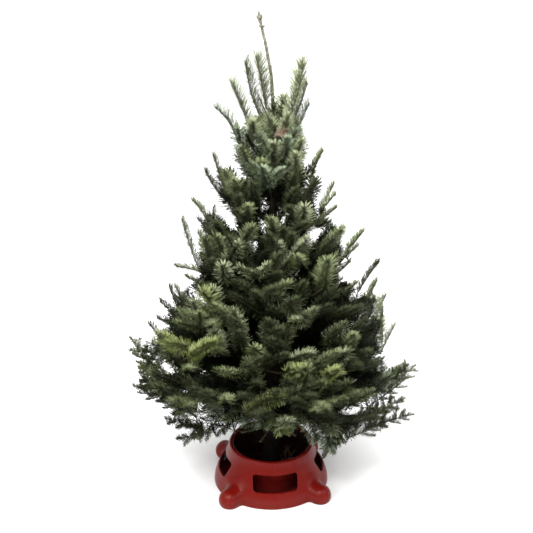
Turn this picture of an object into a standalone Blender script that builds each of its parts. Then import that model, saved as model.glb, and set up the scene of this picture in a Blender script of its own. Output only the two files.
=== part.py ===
"""A young cut fir, sold as a table-top Christmas tree, standing in its moulded plastic stand.

Metres, +Z up. The origin is the middle of the stand's flat underside, and the four windows face -Y, +X, +Y
and -X. The trunk stands in the water bowl, and tiers of boughs come off it all the way up. Each bough ends
where its foliage begins: a mass of foliage is one stem with side shoots, and each shoot is a blade toothed
like its needles.
"""

import math
import random

import bmesh
import bpy
import numpy as np
from mathutils import Matrix, Vector

# What one piece keeps clear of the next where they meet.
SEAT_GAP = 0.0003

# The skirt of the stand: a low cone with a bulged side and a rolled rim. Its side is (radius, height).
SKIRT_RADIUS = 0.120
SKIRT_HEIGHT = 0.088
SKIRT_SIDE = [(0.118, 0.014), (0.112, 0.030), (0.102, 0.048), (0.0945, 0.064), (0.0898, 0.0755)]
RIM_RADIUS = 0.078
RIM_ROLL = 0.005
RIM_STEPS = 3
WALL = 0.003
SKIRT_SIDES = 36

# Four windows through the wall of the skirt, and four round-nosed feet between them.
WINDOW_COUNT = 4
WINDOW_HALF_WIDTH = 0.045
WINDOW_BOTTOM = 0.031
WINDOW_TOP = 0.063
WINDOW_CORNER = 0.006
WINDOW_CUT_FROM = 0.072
WINDOW_CUT_TO = 0.140
FOOT_COUNT = 4
FOOT_ROOT_FROM_AXIS = 0.098
FOOT_ROOT_RADIUS = 0.025
FOOT_NOSE_FROM_AXIS = 0.130
FOOT_NOSE_RADIUS = 0.022
FOOT_NOSE_ANGLES = (32, 62)
FOOT_HEIGHT = 0.011
FOOT_SIDES = 10

# The water bowl stands on its own flat floor under the rim, and its ribs grip the butt.
BOWL_TOP_RADIUS = RIM_RADIUS + 0.006
BOWL_TOP = SKIRT_HEIGHT - 2 * RIM_ROLL - SEAT_GAP
BOWL_WAIST_RADIUS = 0.071
BOWL_WAIST_HEIGHT = 0.046
BOWL_FLOOR_RADIUS = 0.066
BOWL_FLOOR_THICKNESS = 0.006
BOWL_SIDES = 36
RIB_COUNT = 4
RIB_THICKNESS = 0.004
RIB_TOP = 0.046
RIB_LEAN = 0.003
RIB_SUNK = 0.002
RIB_FOOT_TOP = 0.026

# A flat ring closes the stand underneath, from the foot of the bowl to the foot of the skirt.
RING_INNER_RADIUS = BOWL_FLOOR_RADIUS + 2 * SEAT_GAP
RING_OUTER_RADIUS = 0.1160
RING_THICKNESS = 0.002

# The trunk, from the cut at the butt to the buds on the leader: (height, lean along X and Y, radius).
TRUNK_LINE = [
    (BOWL_FLOOR_THICKNESS + SEAT_GAP, 0.000, 0.000, 0.0205),
    (0.020, 0.000, 0.000, 0.0190),
    (0.050, 0.000, 0.000, 0.0176),
    (0.140, 0.001, 0.001, 0.0160),
    (0.240, 0.002, 0.003, 0.0142),
    (0.360, 0.001, 0.005, 0.0120),
    (0.480, 0.002, 0.005, 0.0096),
    (0.600, 0.004, 0.003, 0.0072),
    (0.700, 0.004, 0.001, 0.0052),
    (0.780, 0.003, 0.000, 0.0036),
    (0.842, -0.001, -0.001, 0.0029),
    (0.900, -0.012, -0.002, 0.0026),
    (0.932, -0.020, -0.003, 0.0024),
    (0.940, -0.022, -0.003, 0.0042),
    (0.948, -0.024, -0.003, 0.0040),
    (0.953, -0.025, -0.003, 0.0018),
]
TRUNK_SIDES = 12

# A tier is one whorl of boughs: the height where it leaves the trunk, how far its tips reach and how high
# they are to the left, front, right and back (-X, -Y, +X, +Y), how many boughs it has, which way the first
# one points (0 is -Y, 90 is +X), the share of a bough that is bare, and how many shoots a mass has in
# pairs, above and below. Where nothing is bare, the foliage starts at the trunk.
TIERS = [
    dict(name="crest", leaves_at=0.742, reach=(0.054, 0.050, 0.056, 0.050), tip=(0.874, 0.818, 0.864, 0.818),
         count=4, first=84, bare=0.0, pairs=1, over=0, under=0),
    dict(name="spire", leaves_at=0.672, reach=(0.102, 0.085, 0.078, 0.085), tip=(0.794, 0.780, 0.796, 0.780),
         count=4, first=98, bare=0.0, pairs=2, over=0, under=0),
    dict(name="crown", leaves_at=0.602, reach=(0.122, 0.115, 0.130, 0.115), tip=(0.700, 0.690, 0.708, 0.690),
         count=5, first=272, bare=0.0, pairs=2, over=1, under=0),
    dict(name="upper", leaves_at=0.525, reach=(0.172, 0.150, 0.140, 0.150), tip=(0.612, 0.605, 0.616, 0.605),
         count=5, first=90, bare=0.0, pairs=2, over=1, under=1),
    dict(name="shoulder", leaves_at=0.448, reach=(0.176, 0.178, 0.200, 0.180),
         tip=(0.520, 0.530, 0.536, 0.520), count=5, first=272, bare=0.0, pairs=2, over=1, under=1),
    dict(name="middle", leaves_at=0.370, reach=(0.240, 0.205, 0.222, 0.212), tip=(0.450, 0.450, 0.454, 0.450),
         count=5, first=91, bare=0.0, pairs=3, over=1, under=1),
    dict(name="waist", leaves_at=0.294, reach=(0.246, 0.228, 0.288, 0.246), tip=(0.370, 0.374, 0.392, 0.370),
         count=5, first=268, bare=0.24, pairs=3, over=1, under=1),
    dict(name="lower", leaves_at=0.220, reach=(0.318, 0.244, 0.288, 0.280), tip=(0.306, 0.300, 0.262, 0.290),
         count=5, first=92, bare=0.26, pairs=3, over=1, under=1),
    dict(name="hem", leaves_at=0.160, reach=(0.276, 0.205, 0.288, 0.270), tip=(0.206, 0.236, 0.165, 0.195),
         count=4, first=84, bare=0.30, pairs=3, over=1, under=1),
]
AZIMUTH_JITTER = 7.0
REACH_JITTER = 0.03
HEIGHT_JITTER = 0.006
SAG_SHARE = 0.09
PATH_STEPS = 12
SEED = 7

# A bough is a tapering limb. Its thickness follows its reach, up to a share of the trunk's.
BOUGH_RADIUS_PER_REACH = 0.020
BOUGH_SHARE_OF_TRUNK = 0.75
BOUGH_COLLAR = 1.2
BOUGH_SIDES = 7
STEM_TIP_RADIUS = 0.0012
STEM_SIDES = 3
STEM_POINTS = 4
STEM_INTO_END_SHOOT = 0.003

# A side shoot spreads from its stem by an angle. Shoots are shorter towards the tip, and one that would
# leave its mass's own space is tried again shorter, and then left out.
SHOOT_SPREAD = 46.0
SHOOT_SPREAD_JITTER = 7.0
SHOOT_CLOCK_JITTER = 14.0
SHOOT_LENGTH_JITTER = 0.10
SHOOT_SHARE = 0.46
SHOOT_FADE = 0.65
SHOOT_LONGEST = 0.122
SHOOT_SHORTEST = 0.042
SHRINKS = (1.0, 0.88, 0.76, 0.64)
FIRST_SHOOT_SHARE = 0.16
FIRST_SHOOT_PAST_BOUGH = 0.04
LAST_SHOOT_BEFORE_END = 0.02
END_SHOOT_LENGTH = 0.105
END_SHOOT_SHARE = 0.56
OWN_SPACE_GAP = 0.001
LIMB_CLEARANCE = 0.003
ROOT_LENGTH_NOT_TESTED = 0.012
STAND_CLEARANCE_HEIGHT = SKIRT_HEIGHT + 0.006
STAND_CLEARANCE_RADIUS = SKIRT_RADIUS + 0.040

# The blade of a shoot, toothed like its needles and a little larger than life. It lies in the plane of the
# stem and the shoot, rolled about the shoot by a little.
BLADE_ROLL = 28.0
BLADE_HALF_WIDTH = 0.019
BLADE_WIDTH_SHARE = 0.30
BLADE_NECK = 0.008
BLADE_NECK_HALF_WIDTH = 0.0036
BLADE_HALF_THICKNESS = 0.0013
THREE_TEETH_FROM = 0.075
TOOTH_ZONE = 0.90
TOOTH_SWEEP = 0.30
TOOTH_NOTCH = 0.34

RED_PLASTIC = ((0.42, 0.028, 0.026), 0.38)
BARK = ((0.16, 0.12, 0.085), 0.85)
NEEDLES = ((0.055, 0.11, 0.048), 0.6)


def clear_scene():
    for obj in list(bpy.data.objects):
        bpy.data.objects.remove(obj, do_unlink=True)


def material(name, colour, roughness):
    made = bpy.data.materials.new(name)
    made.use_nodes = True
    shader = made.node_tree.nodes["Principled BSDF"]
    shader.inputs["Base Color"].default_value = (*colour, 1.0)
    shader.inputs["Roughness"].default_value = roughness
    shader.inputs["Metallic"].default_value = 0.0
    return made


def object_from(name, points, faces, finish=None):
    """A closed mesh object with its faces turned outwards."""
    mesh = bpy.data.meshes.new(name)
    mesh.from_pydata([tuple(p) for p in points], [], faces)
    edit = bmesh.new()
    edit.from_mesh(mesh)
    bmesh.ops.recalc_face_normals(edit, faces=edit.faces)
    edit.to_mesh(mesh)
    edit.free()
    obj = bpy.data.objects.new(name, mesh)
    bpy.context.scene.collection.objects.link(obj)
    if finish:
        obj.data.materials.append(finish)
    return obj


def apply_modifiers(obj):
    graph = bpy.context.evaluated_depsgraph_get()
    finished = bpy.data.meshes.new_from_object(obj.evaluated_get(graph))
    obj.modifiers.clear()
    obj.data = finished


def cut_or_join(obj, other, operation):
    """One Boolean, applied, after which the other object is gone."""
    modifier = obj.modifiers.new("boolean", "BOOLEAN")
    modifier.operation = operation
    modifier.object = other
    apply_modifiers(obj)
    bpy.data.objects.remove(other, do_unlink=True)


def smooth_round_faces(obj, angle):
    obj.data.shade_smooth()
    obj.data.set_sharp_from_angle(angle=math.radians(angle))


def direction(azimuth):
    """The level direction of an azimuth in degrees: 0 is -Y, 90 is +X."""
    turn = math.radians(azimuth)
    return Vector((math.sin(turn), -math.cos(turn), 0.0))


def arc(centre, radius, first, last, steps):
    """Points on an arc in a profile, from the first angle to the last, in degrees."""
    turns = [math.radians(first + (last - first) * step / steps) for step in range(steps + 1)]
    return [(centre[0] + radius * math.cos(turn), centre[1] + radius * math.sin(turn)) for turn in turns]


def turned(name, profile, sides, finish=None):
    """A solid of revolution about Z. The profile runs from the axis to the axis, as (radius, height)."""
    points, faces, rings = [], [], []
    for radius, height in profile:
        count = sides if radius else 1
        rings.append([len(points) + side for side in range(count)])
        for side in range(count):
            turn = 2 * math.pi * side / sides
            points.append((radius * math.cos(turn), radius * math.sin(turn), height))
    for low, high in zip(rings, rings[1:]):
        for side in range(sides):
            after = (side + 1) % sides
            if len(low) == 1:
                faces.append((low[0], high[after], high[side]))
            elif len(high) == 1:
                faces.append((low[side], low[after], high[0]))
            else:
                faces.append((low[side], low[after], high[after], high[side]))
    return object_from(name, points, faces, finish)


def prism(name, outlines):
    """A solid between two outlines of the same number of points."""
    near, far = outlines
    count = len(near)
    faces = [(k, (k + 1) % count, count + (k + 1) % count, count + k) for k in range(count)]
    faces += [tuple(range(count)), tuple(range(count, 2 * count))]
    return object_from(name, near + far, faces)


def frames_along(path):
    """A pair of crosswise axes at each point of a path, carried along without twist."""
    tangents = []
    for step in range(len(path)):
        before, after = path[max(step - 1, 0)], path[min(step + 1, len(path) - 1)]
        tangents.append((after - before).normalized())
    start = Vector((0, 0, 1)) if abs(tangents[0].z) < 0.9 else Vector((0, 1, 0))
    across = tangents[0].cross(start).normalized()
    frames = []
    for tangent in tangents:
        across = (across - tangent * across.dot(tangent)).normalized()
        frames.append((across, tangent.cross(across)))
    return frames


def limb(name, path, radii, sides, finish=None):
    """A closed tapering tube with flat ends."""
    points, faces = [], []
    for centre, radius, (across, upright) in zip(path, radii, frames_along(path)):
        for side in range(sides):
            turn = 2 * math.pi * side / sides
            points.append(centre + across * (radius * math.cos(turn)) + upright * (radius * math.sin(turn)))
    for step in range(len(path) - 1):
        for side in range(sides):
            after = (side + 1) % sides
            low, high = step * sides, (step + 1) * sides
            faces.append((low + side, low + after, high + after, high + side))
    last = (len(path) - 1) * sides
    faces += [tuple(range(sides)), tuple(range(last, last + sides))]
    return object_from(name, points, faces, finish)


def skirt_side(inset):
    """The side of the skirt above the ground, moved in by inset, as (radius, height)."""
    return [(radius - inset, height) for radius, height in SKIRT_SIDE]


def rim_arc(first, last):
    """A stretch of the rolled rim."""
    return arc((RIM_RADIUS + RIM_ROLL, SKIRT_HEIGHT - RIM_ROLL), RIM_ROLL, first, last, RIM_STEPS)


def make_skirt(finish):
    """The outer solid with its feet, less the hollow and its feet, the ground and the windows."""
    over_rim, under_rim = rim_arc(15.0, 160.0), rim_arc(-45.0, -140.0)
    lid = over_rim[-1][1] - WALL / 5
    middle = [(0.9 * RIM_RADIUS, lid), (0.0, lid)]
    outside = [(0.0, 0.0), (SKIRT_RADIUS, 0.0), *skirt_side(0.0), *over_rim, *middle]
    top = SKIRT_HEIGHT + WALL
    mouth = [(RIM_RADIUS, under_rim[-1][1] + WALL / 3), (RIM_RADIUS, top), (0.0, top)]
    inside = [(0.0, -WALL), (SKIRT_RADIUS - WALL, -WALL), *skirt_side(WALL), *under_rim, *mouth]
    skirt = turned("stand_skirt", outside, SKIRT_SIDES, finish)
    hollow = turned("hollow", inside, SKIRT_SIDES)
    for k in range(FOOT_COUNT):
        azimuth = (k + 0.5) * 360 / FOOT_COUNT
        cut_or_join(skirt, foot_solid(azimuth, 0.0), "UNION")
        cut_or_join(hollow, foot_solid(azimuth, WALL), "UNION")
    cut_or_join(skirt, ground_block(), "DIFFERENCE")
    cut_or_join(skirt, hollow, "DIFFERENCE")
    for k in range(WINDOW_COUNT):
        cut_or_join(skirt, window_cutter(k * 360 / WINDOW_COUNT), "DIFFERENCE")
    smooth_round_faces(skirt, 35.0)


def foot_solid(azimuth, inset):
    """A blunt round-nosed lug that runs out level from inside the skirt, moved in by inset."""
    nose = FOOT_NOSE_RADIUS - inset
    turns = [math.radians(angle) for angle in FOOT_NOSE_ANGLES]
    profile = [(0.0, FOOT_ROOT_FROM_AXIS), (FOOT_ROOT_RADIUS - inset, FOOT_ROOT_FROM_AXIS)]
    profile += [(nose, FOOT_NOSE_FROM_AXIS)]
    profile += [(nose * math.cos(turn), FOOT_NOSE_FROM_AXIS + nose * math.sin(turn)) for turn in turns]
    profile += [(0.0, FOOT_NOSE_FROM_AXIS + nose)]
    lug = turned("lug", profile, FOOT_SIDES)
    tilt = Vector((0, 0, 1)).rotation_difference(direction(azimuth)).to_matrix().to_4x4()
    lug.data.transform(Matrix.Translation((0, 0, FOOT_HEIGHT)) @ tilt)
    return lug


def ground_block():
    """A block under the ground, which leaves every foot a flat sole."""
    bpy.ops.mesh.primitive_cube_add(size=1.0, location=(0, 0, -0.5))
    return bpy.context.object


def window_cutter(azimuth):
    """A bar with rounded corners that runs out through the wall of the skirt."""
    middle, rise = (WINDOW_BOTTOM + WINDOW_TOP) / 2, (WINDOW_TOP - WINDOW_BOTTOM) / 2
    outline = []
    for k, (side, end) in enumerate(((1, 1), (-1, 1), (-1, -1), (1, -1))):
        centre = (side * (WINDOW_HALF_WIDTH - WINDOW_CORNER), middle + end * (rise - WINDOW_CORNER))
        outline += arc(centre, WINDOW_CORNER, 90 * k, 90 * k + 90, 2)
    out, across = direction(azimuth), direction(azimuth + 90)
    ends = [
        [out * depth + across * x + Vector((0, 0, z)) for x, z in outline]
        for depth in (WINDOW_CUT_FROM, WINDOW_CUT_TO)
    ]
    return prism("window_cutter", ends)


def make_bowl(finish):
    """The water bowl, with four ribs whose inner edges stop just short of the butt."""
    profile = [
        (0.0, 0.0),
        (BOWL_FLOOR_RADIUS, 0.0),
        (BOWL_WAIST_RADIUS, BOWL_WAIST_HEIGHT),
        (BOWL_TOP_RADIUS, BOWL_TOP),
        (BOWL_TOP_RADIUS - WALL, BOWL_TOP),
        (BOWL_WAIST_RADIUS - WALL, BOWL_WAIST_HEIGHT),
        (BOWL_FLOOR_RADIUS - WALL, BOWL_FLOOR_THICKNESS),
        (0.0, BOWL_FLOOR_THICKNESS),
    ]
    bowl = turned("water_bowl", profile, BOWL_SIDES, finish)
    butt = max(radius for height, _, _, radius in TRUNK_LINE if height < RIB_TOP)
    low = BOWL_FLOOR_THICKNESS - RIB_SUNK
    wall_middle = BOWL_FLOOR_RADIUS - WALL / 2
    rib = [(butt + SEAT_GAP, low), (wall_middle, low)]
    rib += [(wall_middle, RIB_FOOT_TOP), (butt + RIB_LEAN, RIB_TOP)]
    for k in range(RIB_COUNT):
        azimuth = (k + 0.5) * 360 / RIB_COUNT
        out, across = direction(azimuth), direction(azimuth + 90)
        faces = [
            [out * radius + across * side + Vector((0, 0, height)) for radius, height in rib]
            for side in (-RIB_THICKNESS / 2, RIB_THICKNESS / 2)
        ]
        cut_or_join(bowl, prism("rib", faces), "UNION")
    smooth_round_faces(bowl, 35.0)


def make_base_ring(finish):
    """The flat ring that closes the stand underneath, round the foot of the bowl."""
    outside = [(0.0, 0.0), (RING_OUTER_RADIUS, 0.0), (RING_OUTER_RADIUS, RING_THICKNESS), (0.0, RING_THICKNESS)]
    low, high = -WALL, RING_THICKNESS + WALL
    inside = [(0.0, low), (RING_INNER_RADIUS, low), (RING_INNER_RADIUS, high), (0.0, high)]
    ring = turned("base_ring", outside, SKIRT_SIDES, finish)
    cut_or_join(ring, turned("hole", inside, BOWL_SIDES), "DIFFERENCE")


def make_trunk(name, finish=None, swell=0.0):
    path = [Vector((x, y, height)) for height, x, y, _ in TRUNK_LINE]
    radii = [radius + swell for *_, radius in TRUNK_LINE]
    trunk = limb(name, path, radii, TRUNK_SIDES, finish)
    smooth_round_faces(trunk, 50.0)
    return trunk


def trunk_at(height):
    """The trunk's centre and radius at a height."""
    heights = [row[0] for row in TRUNK_LINE]
    x, y, radius = (float(np.interp(height, heights, [row[k] for row in TRUNK_LINE])) for k in (1, 2, 3))
    return Vector((x, y, height)), radius


def by_side(values, azimuth):
    """What a tier says of an azimuth, blended from its values to the left, front, right and back."""
    left, front, right, back = values
    turn = math.radians(azimuth)
    sideways = right if math.sin(turn) > 0 else left
    lengthways = front if math.cos(turn) > 0 else back
    return sideways * math.sin(turn) ** 2 + lengthways * math.cos(turn) ** 2


def grown_limbs():
    """Every bough of every tier: its line from inside the trunk to its tip, and what its tier says of it."""
    grown = []
    for tier in TIERS:
        for k in range(tier["count"]):
            dice = random.Random(f"{SEED} {tier['name']} {k}")
            azimuth = tier["first"] + 360.0 * k / tier["count"] + dice.uniform(-1, 1) * AZIMUTH_JITTER
            reach = by_side(tier["reach"], azimuth) * (1 + dice.uniform(-1, 1) * REACH_JITTER)
            lift = dice.uniform(-1, 1) * HEIGHT_JITTER
            root, radius = trunk_at(tier["leaves_at"] + lift)
            tip = direction(azimuth) * reach + Vector((0, 0, by_side(tier["tip"], azimuth) + lift))
            bend = (root + tip) / 2 - Vector((0, 0, SAG_SHARE * reach))
            shares = [step / PATH_STEPS for step in range(PATH_STEPS + 1)]
            line = [root * (1 - t) ** 2 + bend * (2 * t * (1 - t)) + tip * t**2 for t in shares]
            whole = sum((b - a).length for a, b in zip(line, line[1:]))
            grown.append(dict(
                name=f"{tier['name']}_{k + 1}",
                tier=tier,
                dice=dice,
                line=line,
                whole=whole,
                end_share=1.0 - min(END_SHOOT_LENGTH / whole, END_SHOOT_SHARE),
                thick=min(BOUGH_RADIUS_PER_REACH * reach, BOUGH_SHARE_OF_TRUNK * radius),
            ))
    return grown


def at_share(line, share):
    """The point and the direction at a share of the way along a line."""
    place = share * (len(line) - 1)
    step = min(int(place), len(line) - 2)
    return line[step].lerp(line[step + 1], place - step), (line[step + 1] - line[step]).normalized()


def limb_radius(grown, share):
    return grown["thick"] + (STEM_TIP_RADIUS - grown["thick"]) * share


def make_bough(grown, finish):
    """The bare limb between the trunk and its foliage, shaped to the trunk where it meets it."""
    shares = [grown["tier"]["bare"] * k / 3 for k in range(4)]
    line = [at_share(grown["line"], share)[0] for share in shares]
    radii = [limb_radius(grown, share) for share in shares]
    radii[0] *= BOUGH_COLLAR
    bough = limb("bough_" + grown["name"], line, radii, BOUGH_SIDES, finish)
    cut_or_join(bough, make_trunk("trunk_cutter", swell=SEAT_GAP), "DIFFERENCE")
    smooth_round_faces(bough, 50.0)


def blade_shape(length):
    """A toothed blade along +X in the XY plane, ridged on both sides, as (points, faces)."""
    points, faces = [(0.0, 0.0, 0.0)], []

    def add(x, y, z):
        points.append((x, y, z))
        return len(points) - 1

    teeth = 3 if length > THREE_TEETH_FROM else 2
    half_width = min(BLADE_HALF_WIDTH, BLADE_WIDTH_SHARE * length)
    pitch = (TOOTH_ZONE * length - BLADE_NECK) / teeth
    notches = [BLADE_NECK + pitch * k for k in range(teeth)]
    notch_widths = [BLADE_NECK_HALF_WIDTH] + [TOOTH_NOTCH * half_width] * (teeth - 1)
    thick = max(BLADE_HALF_THICKNESS, length / 100)
    ridges = [[add(x, 0, side * thick) for x in notches] for side in (1, -1)]
    end = add(length, 0, 0)
    for side in (1, -1):
        inner = [add(x, side * width, 0) for x, width in zip(notches, notch_widths)]
        tips = []
        for k, x in enumerate(notches):
            share = (k + 0.5) / teeth
            width = half_width * min(1.0, 0.7 + 1.2 * share, 2.3 * (1 - share))
            tips.append(add(min(x + pitch * (1.0 + TOOTH_SWEEP), 0.97 * length), side * width, 0))
        for ridge in ridges:
            faces.append((0, inner[0], ridge[0]))
            for k in range(teeth):
                faces.append((ridge[k], inner[k], tips[k]))
                if k + 1 < teeth:
                    faces.append((ridge[k], tips[k], inner[k + 1]))
                    faces.append((ridge[k], inner[k + 1], ridge[k + 1]))
                else:
                    faces.append((ridge[k], tips[k], end))
    return points, faces


def shoots_of(grown):
    """The shoots of one mass, in pairs, above, below and at the end: (root, way, face, length)."""
    tier, dice, line = grown["tier"], grown["dice"], grown["line"]
    last = grown["end_share"] - LAST_SHOOT_BEFORE_END
    first = min(max(tier["bare"] + FIRST_SHOOT_PAST_BOUGH, FIRST_SHOOT_SHARE), last - 0.08)
    planned = []
    for pair in range(tier["pairs"]):
        for side in (0, 1):
            place = (pair + 0.2 + 0.4 * side + 0.1 * dice.uniform(-1, 1)) / tier["pairs"]
            planned.append((first + (last - first) * place, 180.0 * side, 1 - 2 * side))
    planned += [(last - 0.03, 90.0, dice.choice((-1, 1)))] * tier["over"]
    planned += [(last - 0.03, 270.0, dice.choice((-1, 1)))] * tier["under"]
    found = []
    for share, clock, tilt in planned:
        root, along = at_share(line, share)
        across = along.cross(Vector((0, 0, 1))).normalized()
        turn = math.radians(clock + SHOOT_CLOCK_JITTER * dice.uniform(-1, 1))
        outward = across * math.cos(turn) + across.cross(along) * math.sin(turn)
        spread = math.radians(SHOOT_SPREAD + SHOOT_SPREAD_JITTER * dice.uniform(-1, 1))
        way = along * math.cos(spread) + outward * math.sin(spread)
        face = Matrix.Rotation(math.radians(BLADE_ROLL) * tilt, 3, way) @ along.cross(way).normalized()
        length = min(SHOOT_SHARE * grown["whole"] * (1.15 - SHOOT_FADE * share), SHOOT_LONGEST)
        length *= 1 + SHOOT_LENGTH_JITTER * dice.uniform(-1, 1)
        found.append((root, way, face, max(length, SHOOT_SHORTEST)))
    root = at_share(line, grown["end_share"])[0]
    way = (line[-1] - root).normalized()
    across = way.cross(Vector((0, 0, 1))).normalized()
    face = Matrix.Rotation(math.radians(BLADE_ROLL), 3, way) @ across
    found.append((root, way, face, (line[-1] - root).length))
    return found


def distances(points, samples):
    """How far each point is from each sample."""
    return np.sqrt(((points[:, None, :] - samples[None, :, :]) ** 2).sum(2))


def sampled(line, first, last, count):
    """Close points along a stretch of a line."""
    return np.array([at_share(line, first + (last - first) * k / count)[0] for k in range(count + 1)])


class Spaces:
    """Which stretch of the crown each mass may fill: what is nearer to its own stem than to any other."""

    def __init__(self, limbs):
        self.stems = {g["name"]: sampled(g["line"], max(g["tier"]["bare"], 0.1), 1.0, 40) for g in limbs}
        bared = [g for g in limbs if g["tier"]["bare"]]
        self.boughs = [(sampled(g["line"], 0.0, g["tier"]["bare"], 12), g["thick"]) for g in bared]
        heights = np.linspace(TRUNK_LINE[0][0], TRUNK_LINE[-1][0], 150)
        self.trunk = np.array([trunk_at(height)[0] for height in heights])
        self.trunk_radii = np.array([trunk_at(height)[1] for height in heights])

    def holds(self, name, blade_points):
        """Whether a blade is in the space of its mass and clear of the trunk, the boughs and the stand."""
        far = [p for p in blade_points if (p - blade_points[0]).length > ROOT_LENGTH_NOT_TESTED]
        points = np.array(far + [(a + b) / 2 for a, b in zip(far, far[1:])])
        own = distances(points, self.stems[name]).min(1)
        for other, stem in self.stems.items():
            if other != name and (distances(points, stem).min(1) < own + OWN_SPACE_GAP).any():
                return False
        for bough, radius in self.boughs:
            if (distances(points, bough) < radius * BOUGH_COLLAR + LIMB_CLEARANCE).any():
                return False
        if (distances(points, self.trunk) < self.trunk_radii + LIMB_CLEARANCE).any():
            return False
        over_stand = np.hypot(points[:, 0], points[:, 1]) < STAND_CLEARANCE_RADIUS
        return not (over_stand & (points[:, 2] < STAND_CLEARANCE_HEIGHT)).any()


def make_foliage(grown, spaces, finish):
    """One stem with its toothed shoots, joined to a single solid."""
    bare, line = grown["tier"]["bare"], grown["line"]
    foot = bare + (SEAT_GAP / grown["whole"] if bare else 0.0)
    last = grown["end_share"] + STEM_INTO_END_SHOOT / grown["whole"]
    shares = [foot + (last - foot) * k / (STEM_POINTS - 1) for k in range(STEM_POINTS)]
    stem_line = [at_share(line, share)[0] for share in shares]
    radii = [limb_radius(grown, share) for share in shares]
    mass = limb("foliage_" + grown["name"], stem_line, radii, STEM_SIDES, finish)
    if not bare:
        cut_or_join(mass, make_trunk("trunk_cutter", swell=SEAT_GAP), "DIFFERENCE")
    shoots = bpy.data.collections.new("shoots")
    planned = shoots_of(grown)
    for root, way, face, length in planned:
        at_the_end = (root, way, face, length) == planned[-1]
        sizes = [length] if at_the_end else [length * shrink for shrink in SHRINKS]
        across = face.cross(way).normalized()
        for size in sizes:
            flat, faces = blade_shape(size)
            points = [root + way * x + across * y + way.cross(across) * z for x, y, z in flat]
            if at_the_end or spaces.holds(grown["name"], points):
                blade = object_from("shoot", points, faces)
                bpy.context.scene.collection.objects.unlink(blade)
                shoots.objects.link(blade)
                break
    modifier = mass.modifiers.new("join", "BOOLEAN")
    modifier.operation = "UNION"
    modifier.operand_type = "COLLECTION"
    modifier.collection = shoots
    apply_modifiers(mass)
    for blade in list(shoots.objects):
        bpy.data.objects.remove(blade, do_unlink=True)
    bpy.data.collections.remove(shoots)


def main():
    clear_scene()
    red = material("red plastic", *RED_PLASTIC)
    bark = material("bark", *BARK)
    green = material("needles", *NEEDLES)
    make_skirt(red)
    make_bowl(red)
    make_base_ring(red)
    make_trunk("trunk", bark)
    limbs = grown_limbs()
    spaces = Spaces(limbs)
    for grown in limbs:
        if grown["tier"]["bare"]:
            make_bough(grown, bark)
        make_foliage(grown, spaces, green)


main()
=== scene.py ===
"""A young cut fir, sold as a table-top Christmas tree, standing in its red moulded plastic stand.

Metres, +Z up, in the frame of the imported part. The sections follow the tree as it is put together: the
studio, the stand's skirt, water bowl and base ring, the lines that trunk, boughs and shoots grow along, the
needles and twigs on them, the bark of the trunk and boughs, the buds, and what has dropped from the tree.
"""

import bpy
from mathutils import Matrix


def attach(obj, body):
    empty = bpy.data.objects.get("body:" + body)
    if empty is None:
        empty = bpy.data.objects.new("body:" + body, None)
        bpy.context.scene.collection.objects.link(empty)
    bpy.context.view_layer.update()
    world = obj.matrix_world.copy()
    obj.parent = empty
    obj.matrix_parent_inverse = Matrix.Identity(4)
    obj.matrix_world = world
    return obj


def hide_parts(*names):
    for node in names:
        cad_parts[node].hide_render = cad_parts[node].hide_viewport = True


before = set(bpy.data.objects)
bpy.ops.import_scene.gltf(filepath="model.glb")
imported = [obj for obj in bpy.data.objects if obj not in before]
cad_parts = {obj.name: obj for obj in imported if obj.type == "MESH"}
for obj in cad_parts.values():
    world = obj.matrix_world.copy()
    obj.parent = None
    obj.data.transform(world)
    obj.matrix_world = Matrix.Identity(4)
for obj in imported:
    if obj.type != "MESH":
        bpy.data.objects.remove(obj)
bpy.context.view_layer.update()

import math
import random

import bpy
import numpy as np
from mathutils import Matrix, Vector

# The studio: a camera at the photo's angle, a wide pale floor with a round white wall far away, and soft
# light from three lamps with large faces, as in a shop's white booth. A small lamp gives the plastic its
# glints.
CAMERA_AZIMUTH = 5.0
CAMERA_PITCH = 20.4
CAMERA_DISTANCE = 1.6
CAMERA_SIDESTEP = -0.0095
CAMERA_HEIGHT = 1.07
CAMERA_LENS = 59.44
SENSOR_WIDTH = 36.0
FLOOR_SIDE = 80.0
FLOOR_COLOUR = (0.86, 0.86, 0.855)
BACKDROP_FROM_AXIS = 36.0
BACKDROP_HEIGHT = 11.0
BACKDROP_COLOUR = (0.90, 0.90, 0.895)
SKY_AT_HORIZON = -0.45
SKY_OVERHEAD = 2.55
LAMPS_AIM_AT = Vector((0, 0, 0.5))
LAMPS = [
    ("overhead_lamp", (-0.3, -0.9, 2.6), 1.2, 94.0),
    ("small_lamp", (-0.5, -1.5, 2.0), 0.20, 13.0),
    ("left_lamp", (-1.8, -1.4, 2.2), 1.3, 30.0),
    ("right_lamp", (1.9, -1.2, 2.0), 1.3, 16.0),
]


def feed(node, inputs):
    """Sets a node's inputs, by name or number, to values or to the outputs of other nodes."""
    for key, source in inputs.items():
        if isinstance(source, bpy.types.NodeSocket):
            node.id_data.links.new(source, node.inputs[key])
        else:
            node.inputs[key].default_value = source


def new_node(tree, kind, output, **inputs):
    """An output of a new shader node, with what feeds its inputs."""
    node = tree.nodes.new("ShaderNode" + kind)
    feed(node, {name.replace("_", " "): source for name, source in inputs.items()})
    return node.outputs[output]


def new_material(name):
    """A new material and its node tree."""
    made = bpy.data.materials.new(name)
    made.use_nodes = True
    return made, made.node_tree


def plain_material(name, colour, roughness, shine):
    """A material of one colour."""
    made, tree = new_material(name)
    feed(tree.nodes["Principled BSDF"], {
        "Base Color": (*colour, 1.0), "Roughness": roughness, "Specular IOR Level": shine})
    return made


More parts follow.
